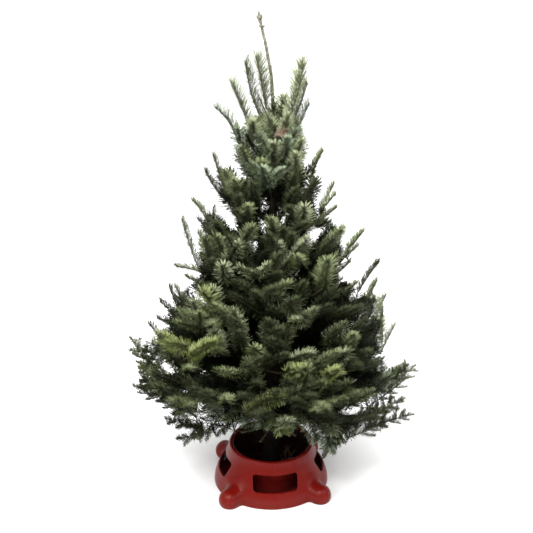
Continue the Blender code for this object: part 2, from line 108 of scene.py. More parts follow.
scene = bpy.context.scene
look_turn = math.radians(CAMERA_AZIMUTH)
look_along = Vector((math.sin(look_turn), math.cos(look_turn), 0.0))
look_across = Vector((math.cos(look_turn), -math.sin(look_turn), 0.0))
camera_place = Vector((0, 0, CAMERA_HEIGHT)) - look_along * CAMERA_DISTANCE + look_across * CAMERA_SIDESTEP
bpy.ops.object.camera_add(
    location=camera_place, rotation=(math.radians(90.0 - CAMERA_PITCH), 0.0, -look_turn)
)
camera = bpy.context.object
camera.data.lens = CAMERA_LENS
camera.data.sensor_width = SENSOR_WIDTH
camera.data.clip_end = 200.0
scene.camera = camera
scene.view_settings.view_transform = "Standard"

bpy.ops.mesh.primitive_plane_add(size=FLOOR_SIDE, location=(0.0, 0.0, 0.0))
floor = bpy.context.object
floor.name = "studio_floor"
floor.data.materials.append(plain_material("white_paper", FLOOR_COLOUR, 0.9, 0.5))
bpy.ops.mesh.primitive_cylinder_add(vertices=96, radius=BACKDROP_FROM_AXIS, depth=BACKDROP_HEIGHT,
                                    end_fill_type="NOTHING", location=(0, 0, BACKDROP_HEIGHT / 2))
backdrop = bpy.context.object
backdrop.name = "studio_wall"
backdrop.data.materials.append(plain_material("white_wall_paper", BACKDROP_COLOUR, 0.9, 0.5))

world = bpy.data.worlds.new("white_booth")
world.use_nodes = True
place = new_node(world.node_tree, "TexCoord", "Generated")
height = new_node(world.node_tree, "SeparateXYZ", "Z", Vector=place)
fade = new_node(
    world.node_tree, "MapRange", "Result", Value=height, To_Min=SKY_AT_HORIZON, To_Max=SKY_OVERHEAD)
feed(world.node_tree.nodes["Background"], {"Color": (1.0, 1.0, 1.0, 1.0), "Strength": fade})
scene.world = world
for lamp_name, lamp_place, lamp_size, lamp_power in LAMPS:
    bpy.ops.object.light_add(type="AREA", location=lamp_place)
    lamp = bpy.context.object
    lamp.name = lamp_name
    lamp.data.size = lamp_size
    lamp.data.energy = lamp_power
    lamp.rotation_euler = (LAMPS_AIM_AT - Vector(lamp_place)).to_track_quat("-Z", "Y").to_euler()

# The stand's skirt: one red moulding, a low cone with a rolled rim, four windows and four round-nosed feet.
# It is glossy plastic with slight waves, scuffs and dust low down. The rings are drawn up one by one, the
# feet are pulled out of the side, and the ground, the wall and the windows follow.
GROUND_DEPTH = 0.026
SKIRT_SIDES = 288
SKIRT_SIDE = [(0.1205, -GROUND_DEPTH), (0.1205, -0.004), (0.118, 0.014), (0.112, 0.030), (0.102, 0.048),
              (0.0945, 0.064), (0.0906, 0.0735), (0.0880, 0.0818)]
RIM_CENTRE = (0.083, 0.083)
RIM_ROLL = 0.005
RIM_FROM, RIM_TO = 10.0, 232.0
WALL_THICKNESS = 0.003
LUG_FROM_AXIS = 0.130
LUG_HEIGHT = 0.0105
LUG_NOSE_RADIUS = 0.0225
LUG_WEB_FROM = 0.0240
LUG_FOOTPRINT = 0.039
WINDOW_HALF_WIDTH = 0.045
WINDOW_BOTTOM, WINDOW_TOP = 0.031, 0.063
WINDOW_CORNER = 0.0065
WINDOW_EDGE = 0.0006
WINDOW_CUT_FROM, WINDOW_CUT_DEPTH = 0.072, 0.062
SMOOTH_BELOW, SHARP_FROM = math.radians(38), math.radians(60)
SCUFF_COLOUR, DUST_COLOUR = (0.30, 0.13, 0.11, 1.0), (0.16, 0.085, 0.065, 1.0)
SKIRT_RED = ((0.109, 0.0036, 0.0019), (0.131, 0.0050, 0.0028), 0.20)


def arc(centre, radius, first, last, steps):
    """Points on an arc in a profile, from the first angle to the last, in degrees."""
    turns = [math.radians(first + (last - first) * step / steps) for step in range(steps + 1)]
    return [(centre[0] + radius * math.cos(turn), centre[1] + radius * math.sin(turn)) for turn in turns]


def finer(profile, spacing):
    """A profile with points put in wherever two neighbours stand further apart than the spacing."""
    made = [profile[0]]
    for start, end in zip(profile, profile[1:]):
        steps = max(1, math.ceil(math.dist(start, end) / spacing))
        for step in range(1, steps + 1):
            t = step / steps
            made.append((start[0] + (end[0] - start[0]) * t, start[1] + (end[1] - start[1]) * t))
    return made


def corners_cut(profile, rounds):
    """A profile with its inner corners cut off again and again, which rounds it."""
    for _ in range(rounds):
        made = [profile[0]]
        for start, end in zip(profile, profile[1:]):
            made.append((0.75 * start[0] + 0.25 * end[0], 0.75 * start[1] + 0.25 * end[1]))
            made.append((0.25 * start[0] + 0.75 * end[0], 0.25 * start[1] + 0.75 * end[1]))
        profile = made + [profile[-1]]
    return profile


def drawn_up(name, profile, sides):
    """A round shell about Z: a circle, extruded and resized through the rings of its profile."""
    bpy.ops.object.select_all(action="DESELECT")
    radius, height = profile[0]
    bpy.ops.mesh.primitive_circle_add(vertices=sides, radius=radius, location=(0, 0, 0))
    obj = bpy.context.object
    obj.name = name
    bpy.ops.object.mode_set(mode="EDIT")
    bpy.ops.mesh.select_all(action="SELECT")
    bpy.ops.transform.translate(value=(0, 0, height))
    for next_radius, next_height in profile[1:]:
        bpy.ops.mesh.extrude_region_move(TRANSFORM_OT_translate={"value": (0, 0, next_height - height)})
        share = next_radius / radius
        bpy.ops.transform.resize(value=(share, share, 1), center_override=(0, 0, next_height))
        radius, height = next_radius, next_height
    bpy.ops.object.mode_set(mode="OBJECT")
    return obj


def only(obj):
    """Selects one object and nothing else."""
    bpy.ops.object.select_all(action="DESELECT")
    obj.select_set(True)
    bpy.context.view_layer.objects.active = obj


def open_whole(obj):
    """Opens one object in edit mode, with all of it selected."""
    only(obj)
    bpy.ops.object.mode_set(mode="EDIT")
    bpy.ops.mesh.select_all(action="SELECT")


def normals_outwards(obj):
    """Turns all faces of an object outwards."""
    open_whole(obj)
    bpy.ops.mesh.normals_make_consistent(inside=False)
    bpy.ops.object.mode_set(mode="OBJECT")


def apply_modifiers(obj):
    """Applies an object's modifiers, first to last."""
    only(obj)
    for modifier in list(obj.modifiers):
        bpy.ops.object.modifier_apply(modifier=modifier.name)


def positions(obj):
    """The places of an object's vertices, as an array."""
    spots = np.empty(len(obj.data.vertices) * 3)
    obj.data.vertices.foreach_get("co", spots)
    return spots.reshape(-1, 3)


def boolean(obj, operation, other):
    """Adds or cuts away another object, which is then removed."""
    change = obj.modifiers.new("boolean", "BOOLEAN")
    change.operation = operation
    change.object = other
    apply_modifiers(obj)
    bpy.data.objects.remove(other, do_unlink=True)


# The side view of a lug: its round nose, its slightly flared side and the fillet where it meets the wall.
lug_line = arc((LUG_FROM_AXIS, 0.0), LUG_NOSE_RADIUS, 0, 80, 10)
lug_line += [(0.1265, 0.0228), (0.1230, 0.0234), (0.1202, 0.0246), (0.1184, 0.0268), (0.1176, 0.0300)]
lug_out = np.array([point[0] for point in lug_line])
lug_off = np.array([point[1] for point in lug_line])
lug_reach = np.concatenate([[0.0], np.cumsum(np.hypot(np.diff(lug_out), np.diff(lug_off)))])


def pull_lugs(obj):
    """Pulls the four feet out of a wall, each along its own level direction."""
    spots = positions(obj)
    for k in range(4):
        turn = math.radians(45 + 90 * k)
        out = np.array([math.sin(turn), -math.cos(turn), 0.0])
        across = np.array([math.cos(turn), math.sin(turn), 0.0])
        sideways, rise = spots @ across, spots[:, 2] - LUG_HEIGHT
        off = np.hypot(sideways, rise)
        chosen = (off < LUG_FOOTPRINT) & (spots @ out > 0)
        share = off[chosen] / LUG_FOOTPRINT
        along = np.interp(share, [0.0, 1.0], [0.0, lug_reach[-1] + (LUG_FOOTPRINT - lug_off[-1])])
        new_off = np.interp(along, lug_reach, lug_off)
        beyond = along - lug_reach[-1]
        new_off = np.where(beyond > 0, lug_off[-1] + beyond, new_off)
        new_out = np.interp(along, lug_reach, lug_out)
        wall_out = spots[chosen] @ out
        scale = new_off / np.maximum(off[chosen], 1e-6)
        on_wall = np.clip((new_off - LUG_WEB_FROM) / (LUG_FOOTPRINT - LUG_WEB_FROM), 0, 1) ** 0.4
        new_out = wall_out * on_wall + new_out * (1 - on_wall)
        new_out = np.maximum(new_out, wall_out)
        moved = out[None, :] * new_out[:, None] + across[None, :] * (sideways[chosen] * scale)[:, None]
        moved[:, 2] = LUG_HEIGHT + rise[chosen] * scale
        spots[chosen] = moved
    obj.data.vertices.foreach_set("co", spots.ravel())
    obj.data.update()


rim = arc(RIM_CENTRE, RIM_ROLL, RIM_FROM, RIM_TO, 14)
skirt = drawn_up("skirt", finer(corners_cut(SKIRT_SIDE, 3), 0.0024) + rim, SKIRT_SIDES)
pull_lugs(skirt)
open_whole(skirt)
bpy.ops.mesh.bisect(plane_co=(0, 0, 0), plane_no=(0, 0, 1), clear_inner=True, use_fill=False)
bpy.ops.object.mode_set(mode="OBJECT")
normals_outwards(skirt)
solid = skirt.modifiers.new("wall", "SOLIDIFY")
solid.thickness = WALL_THICKNESS
solid.offset = -1.0
apply_modifiers(skirt)
for k in range(4):
    bpy.ops.object.select_all(action="DESELECT")
    bpy.ops.mesh.primitive_plane_add(size=1.0, location=(0, 0, 0), rotation=(math.radians(90), 0, 0))
    cutter = bpy.context.object
    cutter.scale = (2 * WINDOW_HALF_WIDTH, WINDOW_TOP - WINDOW_BOTTOM, 1)
    cutter.location = (0, -WINDOW_CUT_FROM, (WINDOW_TOP + WINDOW_BOTTOM) / 2)
    bpy.ops.object.transform_apply(location=True, rotation=True, scale=True)
    bpy.ops.object.mode_set(mode="EDIT")
    bpy.ops.mesh.select_all(action="SELECT")
    bpy.ops.mesh.bevel(offset=WINDOW_CORNER, segments=5, affect="VERTICES")
    bpy.ops.mesh.select_all(action="SELECT")
    bpy.ops.mesh.extrude_region_move(TRANSFORM_OT_translate={"value": (0, -WINDOW_CUT_DEPTH, 0)})
    bpy.ops.mesh.select_all(action="SELECT")
    bpy.ops.mesh.normals_make_consistent(inside=False)
    bpy.ops.object.mode_set(mode="OBJECT")
    cutter.rotation_euler = (0, 0, math.radians(90 * k))
    bpy.ops.object.transform_apply(location=True, rotation=True, scale=True)
    boolean(skirt, "DIFFERENCE", cutter)
edge = skirt.modifiers.new("edge", "BEVEL")
edge.width = WINDOW_EDGE
edge.segments = 2
edge.limit_method = "ANGLE"
edge.angle_limit = SHARP_FROM
apply_modifiers(skirt)
normals_outwards(skirt)
bpy.ops.object.shade_smooth_by_angle(angle=SMOOTH_BELOW)


def colour_mix(tree, share, first, second):
    """A colour that goes from the first to the second, each a colour or the output of another node."""
    mix = tree.nodes.new("ShaderNodeMix")
    mix.data_type = "RGBA"
    feed(mix, {0: share, 6: first, 7: second})
    return mix.outputs[2]


def red_plastic(name, deep, worn, gloss):
    """Glossy red plastic: cloudy colour, scuffs that lie pale on it, dust low down, and slight waves."""
    made, tree = new_material(name)
    place = new_node(tree, "TexCoord", "Object")
    height = new_node(tree, "SeparateXYZ", "Z", Vector=place)
    cloud = new_node(tree, "TexNoise", "Fac", Vector=place, Scale=9.0, Detail=4.0)
    cloudy = colour_mix(tree, cloud, (*deep, 1.0), (*worn, 1.0))
    scuff = new_node(tree, "TexNoise", "Fac", Vector=place, Scale=85.0, Detail=6.0, Distortion=1.6)
    scuffed = new_node(tree, "MapRange", "Result", Value=scuff, From_Min=0.63, From_Max=0.78, To_Max=0.10)
    with_scuffs = colour_mix(tree, scuffed, cloudy, SCUFF_COLOUR)
    low = new_node(tree, "MapRange", "Result", Value=height, From_Min=0.030, From_Max=0.0, To_Max=0.12)
    dusty = tree.nodes.new("ShaderNodeMath")
    dusty.operation = "MULTIPLY"
    feed(dusty, {0: low, 1: scuff})
    with_dust = colour_mix(tree, dusty.outputs["Value"], with_scuffs, DUST_COLOUR)
    duller = gloss + 0.16
    polish = new_node(
        tree, "MapRange", "Result", Value=cloud, From_Min=0.3, From_Max=0.75, To_Min=gloss, To_Max=duller)
    wave = new_node(tree, "TexNoise", "Fac", Vector=place, Scale=26.0)
    grain = new_node(tree, "TexNoise", "Fac", Vector=place, Scale=900.0)
    relief = new_node(tree, "Bump", "Normal", Height=wave, Strength=0.10, Distance=0.0012)
    relief = new_node(tree, "Bump", "Normal", Height=grain, Normal=relief, Strength=0.05, Distance=0.0003)
    feed(tree.nodes["Principled BSDF"], {
        "Base Color": with_dust, "Roughness": polish, "Normal": relief, "Specular IOR Level": 0.11})
    return made


skirt.data.materials.clear()
skirt.data.materials.append(red_plastic("skirt_red", *SKIRT_RED))
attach(skirt, "root")
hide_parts("stand_skirt")

# The water bowl inside it, of the same plastic but a little darker, as painted shade, with its inside, floor
# and ribs painted near black as shade. Four ribs stand on its floor and grip the butt.
BOWL_SIDES = 144
BOWL_FLOOR_RADIUS = 0.066
BOWL_WAIST = (0.071, 0.046)
BOWL_TOP = (0.084, 0.0777)
BOWL_FLOOR_THICKNESS = 0.006
RIB_THICKNESS = 0.004
RIB_TOP = 0.046
RIB_FOOT_TOP = 0.026
RIB_INNER = 0.0208
POLE_RADIUS = 0.0015
OUTSIDE_FROM = 0.25
# Both reds of the bowl are painted shade: darker than the skirt outside, and near black inside.
BOWL_SHADED_RED = ((0.090, 0.0036, 0.0024), (0.120, 0.0060, 0.0044), 0.34)
PAINTED_SHADE_RED = ((0.0070, 0.0022, 0.0016), (0.024, 0.0036, 0.0026), 0.42)
bowl_profile = [(POLE_RADIUS, 0.0), (BOWL_FLOOR_RADIUS, 0.0), BOWL_WAIST, BOWL_TOP]
bowl_profile += [(BOWL_TOP[0] - WALL_THICKNESS, BOWL_TOP[1]), (BOWL_WAIST[0] - WALL_THICKNESS, BOWL_WAIST[1])]
bowl_profile += [(BOWL_FLOOR_RADIUS - WALL_THICKNESS, BOWL_FLOOR_THICKNESS)]
bowl_profile += [(POLE_RADIUS, BOWL_FLOOR_THICKNESS)]
bowl = drawn_up("bowl", finer(bowl_profile, 0.012), BOWL_SIDES)
bpy.ops.object.mode_set(mode="EDIT")
bpy.ops.mesh.edge_face_add()
bpy.ops.mesh.select_all(action="DESELECT")
bpy.ops.mesh.select_non_manifold()
bpy.ops.mesh.edge_face_add()
bpy.ops.object.mode_set(mode="OBJECT")
normals_outwards(bowl)
rib_foot = BOWL_FLOOR_RADIUS - WALL_THICKNESS / 2
rib_line = [(RIB_INNER, 0.004), (rib_foot, 0.004), (rib_foot, RIB_FOOT_TOP), (RIB_INNER + 0.003, RIB_TOP)]
for k in range(4):
    turn = math.radians(45 + 90 * k)
    out = Vector((math.sin(turn), -math.cos(turn), 0.0))
    across = Vector((math.cos(turn), math.sin(turn), 0.0))
    corners = [out * r + across * side + Vector((0, 0, z)) for side in (-RIB_THICKNESS / 2, RIB_THICKNESS / 2)
               for r, z in rib_line]
    rib_mesh = bpy.data.meshes.new("rib")
    rib_mesh.from_pydata([tuple(c) for c in corners], [],
                         [(0, 1, 2, 3), (7, 6, 5, 4), (0, 4, 5, 1), (1, 5, 6, 2), (2, 6, 7, 3), (3, 7, 4, 0)])
    rib = bpy.data.objects.new("rib", rib_mesh)
    scene.collection.objects.link(rib)
    normals_outwards(rib)
    boolean(bowl, "UNION", rib)
normals_outwards(bowl)
bpy.ops.object.shade_smooth_by_angle(angle=SMOOTH_BELOW)
bowl.data.materials.clear()
bowl.data.materials.append(red_plastic("bowl_red_painted_shade", *BOWL_SHADED_RED))
bowl.data.materials.append(red_plastic("bowl_inside_painted_shade", *PAINTED_SHADE_RED))
# Faces that look inwards or up, above the bottom, get the near-black painted shade.
for face in bowl.data.polygons:
    outwards = Vector((face.center.x, face.center.y, 0.0)).normalized()
    if face.normal.dot(outwards) < OUTSIDE_FROM and face.center.z > 0.0005:
        face.material_index = 1
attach(bowl, "root")
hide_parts("water_bowl")

# A flat ring of the same plastic closes the stand underneath, from the foot of the bowl to the skirt. It is
# moulded with them, painted a darker red than the skirt as shade, and shows as dark shade through the
# windows.
RING_INNER, RING_OUTER, RING_THICKNESS = 0.0668, 0.1160, 0.002
# The ring's red is darker than the skirt's: painted shade.
RING_SHADED_RED = ((0.060, 0.0030, 0.0020), (0.085, 0.0050, 0.0036), 0.40)
ring_profile = [(RING_INNER, 0.0), (RING_OUTER, 0.0)]
ring_profile += [(RING_OUTER, RING_THICKNESS), (RING_INNER, RING_THICKNESS)]
ring = drawn_up("base_ring", ring_profile, BOWL_SIDES)
bpy.ops.object.mode_set(mode="EDIT")
bpy.ops.mesh.select_all(action="DESELECT")
bpy.ops.mesh.select_non_manifold()
bpy.ops.mesh.bridge_edge_loops()
bpy.ops.object.mode_set(mode="OBJECT")
normals_outwards(ring)
bpy.ops.object.shade_smooth_by_angle(angle=SMOOTH_BELOW)
ring.data.materials.clear()
ring.data.materials.append(red_plastic("ring_red_painted_shade", *RING_SHADED_RED))
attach(ring, "root")
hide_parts("base_ring")

# The trunk's line in the frame, the same as the part's: where each stretch is, how it leans and how thick
# it is, from the flat cut at the butt to the buds on the leader.
TRUNK_LINE = [
    (0.0063, 0.000, 0.000, 0.0205),
    (0.020, 0.000, 0.000, 0.0190),
    (0.050, 0.000, 0.000, 0.0176),
    (0.140, 0.001, 0.001, 0.0160),
    (0.240, 0.002, 0.003, 0.0142),
    (0.360, 0.001, 0.005, 0.0120),
    (0.480, 0.002, 0.005, 0.0096),
    (0.600, 0.004, 0.003, 0.0072),
    (0.700, 0.004, 0.001, 0.0052),
    (0.780, 0.003, 0.000, 0.0036),
    (0.842, -0.001, -0.001, 0.0029),
    (0.900, -0.012, -0.002, 0.0026),
    (0.932, -0.020, -0.003, 0.0024),
    (0.940, -0.022, -0.003, 0.0042),
    (0.948, -0.024, -0.003, 0.0040),
    (0.953, -0.025, -0.003, 0.0018),
]


def trunk_at(height):
    """The trunk's centre and radius at a height."""
    heights = [row[0] for row in TRUNK_LINE]
    x, y, radius = (float(np.interp(height, heights, [row[k] for row in TRUNK_LINE])) for k in (1, 2, 3))
    return Vector((x, y, height)), radius


# The boughs grow in whorls. A tier is one whorl: the height where it leaves the trunk, how far its tips
# reach and how high they are to the left, front, right and back, and what grows on its boughs. All are as in
# the part.
TIER_FACTS = ("name", "leaves_at", "reach", "tip", "count", "first", "bare", "pairs", "over", "under")
TIERS = [dict(zip(TIER_FACTS, facts)) for facts in (
    ("crest", 0.742, (0.054, 0.050, 0.056, 0.050), (0.874, 0.818, 0.864, 0.818), 4, 84, 0.0, 1, 0, 0),
    ("spire", 0.672, (0.102, 0.085, 0.078, 0.085), (0.794, 0.780, 0.796, 0.780), 4, 98, 0.0, 2, 0, 0),
    ("crown", 0.602, (0.122, 0.115, 0.130, 0.115), (0.700, 0.690, 0.708, 0.690), 5, 272, 0.0, 2, 1, 0),
    ("upper", 0.525, (0.172, 0.150, 0.140, 0.150), (0.612, 0.605, 0.616, 0.605), 5, 90, 0.0, 2, 1, 1),
    ("shoulder", 0.448, (0.176, 0.178, 0.200, 0.180), (0.520, 0.530, 0.536, 0.520), 5, 272, 0.0, 2, 1, 1),
    ("middle", 0.370, (0.240, 0.205, 0.222, 0.212), (0.450, 0.450, 0.454, 0.450), 5, 91, 0.0, 3, 1, 1),
    ("waist", 0.294, (0.246, 0.228, 0.288, 0.246), (0.370, 0.374, 0.392, 0.370), 5, 268, 0.24, 3, 1, 1),
    ("lower", 0.220, (0.318, 0.244, 0.288, 0.280), (0.306, 0.300, 0.262, 0.290), 5, 92, 0.26, 3, 1, 1),
    ("hem", 0.160, (0.276, 0.205, 0.288, 0.270), (0.206, 0.236, 0.165, 0.195), 4, 84, 0.30, 3, 1, 1),
)]
AZIMUTH_JITTER = 7.0
REACH_JITTER = 0.03
HEIGHT_JITTER = 0.006
SAG_SHARE = 0.09
PATH_STEPS = 12
SEED = 7
BOUGH_RADIUS_PER_REACH = 0.020
BOUGH_SHARE_OF_TRUNK = 0.75
END_SHOOT_LENGTH = 0.105
END_SHOOT_SHARE = 0.56
STEM_TIP_RADIUS = 0.0012


def direction(azimuth):
    """The level direction of an azimuth in degrees: 0 is -Y, 90 is +X."""
    turn = math.radians(azimuth)
    return Vector((math.sin(turn), -math.cos(turn), 0.0))


def by_side(values, azimuth):
    """What a tier says of an azimuth, blended from its values to the left, front, right and back."""
    left, front, right, back = values
    turn = math.radians(azimuth)
    sideways = right if math.sin(turn) > 0 else left
    lengthways = front if math.cos(turn) > 0 else back
    return sideways * math.sin(turn) ** 2 + lengthways * math.cos(turn) ** 2


def length_of(line):
    """How long a line of points is."""
    return sum((b - a).length for a, b in zip(line, line[1:]))


def grown_limbs(tiers):
    """Every bough of the tiers, grown by the part's own rule from its own seed."""
    grown = []
    for tier in tiers:
        for k in range(tier["count"]):
            dice = random.Random(f"{SEED} {tier['name']} {k}")
            azimuth = tier["first"] + 360.0 * k / tier["count"] + dice.uniform(-1, 1) * AZIMUTH_JITTER
            reach = by_side(tier["reach"], azimuth) * (1 + dice.uniform(-1, 1) * REACH_JITTER)
            lift = dice.uniform(-1, 1) * HEIGHT_JITTER
            root, radius = trunk_at(tier["leaves_at"] + lift)
            tip = direction(azimuth) * reach + Vector((0, 0, by_side(tier["tip"], azimuth) + lift))
            bend = (root + tip) / 2 - Vector((0, 0, SAG_SHARE * reach))
            shares = [step / PATH_STEPS for step in range(PATH_STEPS + 1)]
            line = [root * (1 - t) ** 2 + bend * (2 * t * (1 - t)) + tip * t**2 for t in shares]
            whole = length_of(line)
            grown.append(dict(
                name=f"{tier['name']}_{k + 1}",
                tier=tier,
                dice=dice,
                line=line,
                whole=whole,
                end_share=1.0 - min(END_SHOOT_LENGTH / whole, END_SHOOT_SHARE),
                thick=min(BOUGH_RADIUS_PER_REACH * reach, BOUGH_SHARE_OF_TRUNK * radius),
            ))
    return grown


def at_share(line, share):
    """The point and the direction at a share of the way along a line."""
    place = share * (len(line) - 1)
    step = min(int(place), len(line) - 2)
    return line[step].lerp(line[step + 1], place - step), (line[step + 1] - line[step]).normalized()


def limb_radius(grown, share):
    """A bough's radius at a share of its length."""
    return grown["thick"] + (STEM_TIP_RADIUS - grown["thick"]) * share


limbs = grown_limbs(TIERS)

# Between the whorls the trunk has weaker boughs, which fill the crown next to it. They take their places
# and their slopes from the whorls above and below.
BETWEEN_REACH = 0.66
LOWEST_TIER = dict(zip(TIER_FACTS, (
    "lowest", 0.128, (0.150, 0.135, 0.160, 0.150), (0.128, 0.120, 0.124, 0.128), 6, 40, 0.1, 2, 1, 0)))


def tier_between(above, below):
    """A weaker whorl halfway between two tiers."""
    leaves_at = (above["leaves_at"] + below["leaves_at"]) / 2
    reach, tip = [], []
    for k in range(4):
        reach.append(BETWEEN_REACH * (above["reach"][k] + below["reach"][k]) / 2)
        rises = (above["tip"][k] - above["leaves_at"]) + (below["tip"][k] - below["leaves_at"])
        tip.append(leaves_at + BETWEEN_REACH * rises / 2)
    first = above["first"] + 180.0 / above["count"]
    facts = ("under_" + above["name"], leaves_at, reach, tip, above["count"], first, 0.0, 2, 1, 0)
    return dict(zip(TIER_FACTS, facts))


fill_limbs = grown_limbs([tier_between(*pair) for pair in zip(TIERS, TIERS[1:])] + [LOWEST_TIER])

# The shoots: pairs of side shoots along each bough, some above and below, and the end shoot, as in the
# part. Between them come finer side shoots, and from every long shoot grow pairs of twigs of its own.
SHOOT_SPREAD = 46.0
SHOOT_SPREAD_JITTER = 7.0
SHOOT_CLOCK_JITTER = 14.0
SHOOT_LENGTH_JITTER = 0.10
SHOOT_SHARE = 0.46
SHOOT_FADE = 0.65
SHOOT_LONGEST = 0.122
SHOOT_SHORTEST = 0.042
SHRINKS = (1.0, 0.88, 0.76, 0.64)
FINER_SHRINKS = (1.0, 0.85, 0.70, 0.55, 0.42)
FIRST_SHOOT_SHARE = 0.16
FIRST_SHOOT_PAST_BOUGH = 0.04
LAST_SHOOT_BEFORE_END = 0.02
BLADE_ROLL = 28.0
TRUNK_CLEARANCE = 0.006
STAND_CLEARANCE_HEIGHT = 0.094
STAND_CLEARANCE_RADIUS = 0.150
UP = Vector((0.0, 0.0, 1.0))


def one_shoot(grown, dice, share, clock, tilt):
    """A side shoot by the part's rule: its root, way, face and length."""
    root, along = at_share(grown["line"], share)
    across = along.cross(UP).normalized()
    turn = math.radians(clock + SHOOT_CLOCK_JITTER * dice.uniform(-1, 1))
    outward = across * math.cos(turn) + across.cross(along) * math.sin(turn)
    spread = math.radians(SHOOT_SPREAD + SHOOT_SPREAD_JITTER * dice.uniform(-1, 1))
    way = along * math.cos(spread) + outward * math.sin(spread)
    face = Matrix.Rotation(math.radians(BLADE_ROLL) * tilt, 3, way) @ along.cross(way).normalized()
    length = min(SHOOT_SHARE * grown["whole"] * (1.15 - SHOOT_FADE * share), SHOOT_LONGEST)
    length *= 1 + SHOOT_LENGTH_JITTER * dice.uniform(-1, 1)
    return root, way, face, max(length, SHOOT_SHORTEST)


def shoots_of(grown):
    """The part's own side shoots of one bough, in the part's own order of drawing."""
    tier, dice = grown["tier"], grown["dice"]
    last = grown["end_share"] - LAST_SHOOT_BEFORE_END
    first = min(max(tier["bare"] + FIRST_SHOOT_PAST_BOUGH, FIRST_SHOOT_SHARE), last - 0.08)
    planned = []
    for pair in range(tier["pairs"]):
        for side in (0, 1):
            place = (pair + 0.2 + 0.4 * side + 0.1 * dice.uniform(-1, 1)) / tier["pairs"]
            planned.append((first + (last - first) * place, 180.0 * side, 1 - 2 * side))
    planned += [(last - 0.03, 90.0, dice.choice((-1, 1)))] * tier["over"]
    planned += [(last - 0.03, 270.0, dice.choice((-1, 1)))] * tier["under"]
    return [one_shoot(grown, dice, *plan) for plan in planned]


STEM_SAMPLES = 31
both = limbs + fill_limbs
sampled = [0.1 + 0.9 * k / (STEM_SAMPLES - 1) for k in range(STEM_SAMPLES)]
all_stems = np.array([at_share(grown["line"], share)[0] for grown in both for share in sampled])
stem_owner = np.repeat(np.arange(len(both)), STEM_SAMPLES)
main_stems = stem_owner < len(limbs)
trunk_heights = np.linspace(0.01, 0.95, 150)
trunk_points = np.array([trunk_at(height)[0] for height in trunk_heights])
trunk_radii = np.array([trunk_at(height)[1] for height in trunk_heights])


# What the photo shows of the crown, in pixels across and down: its outline between the longest fingers, its
# lowest foliage, the patches of sky inside it and the dark hollows at its front, each with its radius.
PICTURE_SIDE = 533.0
CROWN_ROWS = (
    60, 98, 112, 120, 130, 150, 165, 180, 200, 215, 230, 245, 260, 275, 285, 300, 320, 340, 355, 370,
    380, 395, 405, 415, 425, 440)
CROWN_LEFT = (
    290, 282, 262, 250, 240, 236, 222, 216, 218, 206, 199, 195, 197, 198, 190, 170, 167, 159, 150, 149,
    156, 160, 170, 184, 208, 214)
CROWN_RIGHT = (
    250, 274, 294, 300, 304, 308, 316, 320, 316, 318, 348, 347, 342, 336, 350, 374, 379, 383, 380, 380,
    394, 380, 376, 380, 372, 345)
FOOT_ACROSS = (130, 160, 180, 195, 215, 240, 262, 270, 290, 300, 312, 330, 345, 365, 385, 415)
FOOT_DOWN = (398, 404, 412, 420, 426, 422, 420, 430, 430, 420, 432, 440, 438, 431, 426, 417)
SKY_PATCHES = [
    (254, 148, 6), (241, 175, 6), (263, 205, 4), (281, 217, 6), (262, 228, 6), (231, 222, 7), (251, 247, 7),
    (319, 203, 5), (312, 238, 7), (204, 304, 4), (164, 366, 5), (174, 368, 3), (200, 372, 3), (222, 378, 2),
    (184, 393, 3), (200, 410, 4), (350, 414, 4), (374, 402, 5), (351, 276, 6), (298, 274, 3), (343, 336, 3),
    (303, 163, 3), (305, 187, 3), (308, 428, 6), (320, 443, 6), (366, 315, 3), (386, 370, 5),
]
HOLLOWS = [
    (271, 378, 10), (228, 362, 7), (302, 346, 13), (272, 200, 14), (256, 332, 8), (205, 337, 6),
    (317, 330, 8),
]
NEEDLE_MARGIN = 3.4
PATCH_MARGIN = 3.6
FOOT_MARGIN = NEEDLE_MARGIN - 1.0
HOLLOWS_NEARER_THAN = 0.02
focal = PICTURE_SIDE * CAMERA_LENS / SENSOR_WIDTH
pitch = math.radians(CAMERA_PITCH)
view_ahead = look_along * math.cos(pitch) - UP * math.sin(pitch)
view_up = look_along * math.sin(pitch) + UP * math.cos(pitch)
view_axes = np.array([look_across, view_up, view_ahead])


def in_picture(points):
    """Where points come in the photo, across and down, and how much nearer than the trunk they are."""
    seen = (np.atleast_2d(np.array(points)) - np.array(camera_place)) @ view_axes.T
    across = PICTURE_SIDE / 2 + focal * seen[:, 0] / seen[:, 2]
    down = PICTURE_SIDE / 2 - focal * seen[:, 1] / seen[:, 2]
    nearer = -(np.atleast_2d(np.array(points)) @ np.array(look_along))
    return across, down, nearer


def from_picture(across, down, nearer):
    """The point of the tree seen at a place in the photo, so much nearer than the trunk."""
    ray = view_ahead + look_across * ((across - PICTURE_SIDE / 2) / focal)
    ray += view_up * ((PICTURE_SIDE / 2 - down) / focal)
    reach = (-nearer - camera_place.dot(look_along)) / ray.dot(look_along)
    return camera_place + ray * reach


def shown(points):
    """Which points keep to the outline and clear of the patches of sky and, in front, of the hollows."""
    across, down, nearer = in_picture(points)
    good = across >= np.interp(down, CROWN_ROWS, CROWN_LEFT) + NEEDLE_MARGIN
    good &= across <= np.interp(down, CROWN_ROWS, CROWN_RIGHT) - NEEDLE_MARGIN
    good &= down <= np.interp(across, FOOT_ACROSS, FOOT_DOWN) - FOOT_MARGIN
    for x, y, radius in SKY_PATCHES:
        good &= np.hypot(across - x, down - y) >= radius + PATCH_MARGIN
    for x, y, radius in HOLLOWS:
        good &= (np.hypot(across - x, down - y) >= radius + PATCH_MARGIN) | (nearer <= HOLLOWS_NEARER_THAN)
    return good


def near_stand(points):
    """Whether any of the points is over the stand and too low."""
    over_stand = np.hypot(points[:, 0], points[:, 1]) < STAND_CLEARANCE_RADIUS
    return (over_stand & (points[:, 2] < STAND_CLEARANCE_HEIGHT)).any()


def nearest_stem(point):
    """Which of the sampled points of the stems is nearest to a point."""
    return int(np.linalg.norm(all_stems - np.array(point), axis=1).argmin())


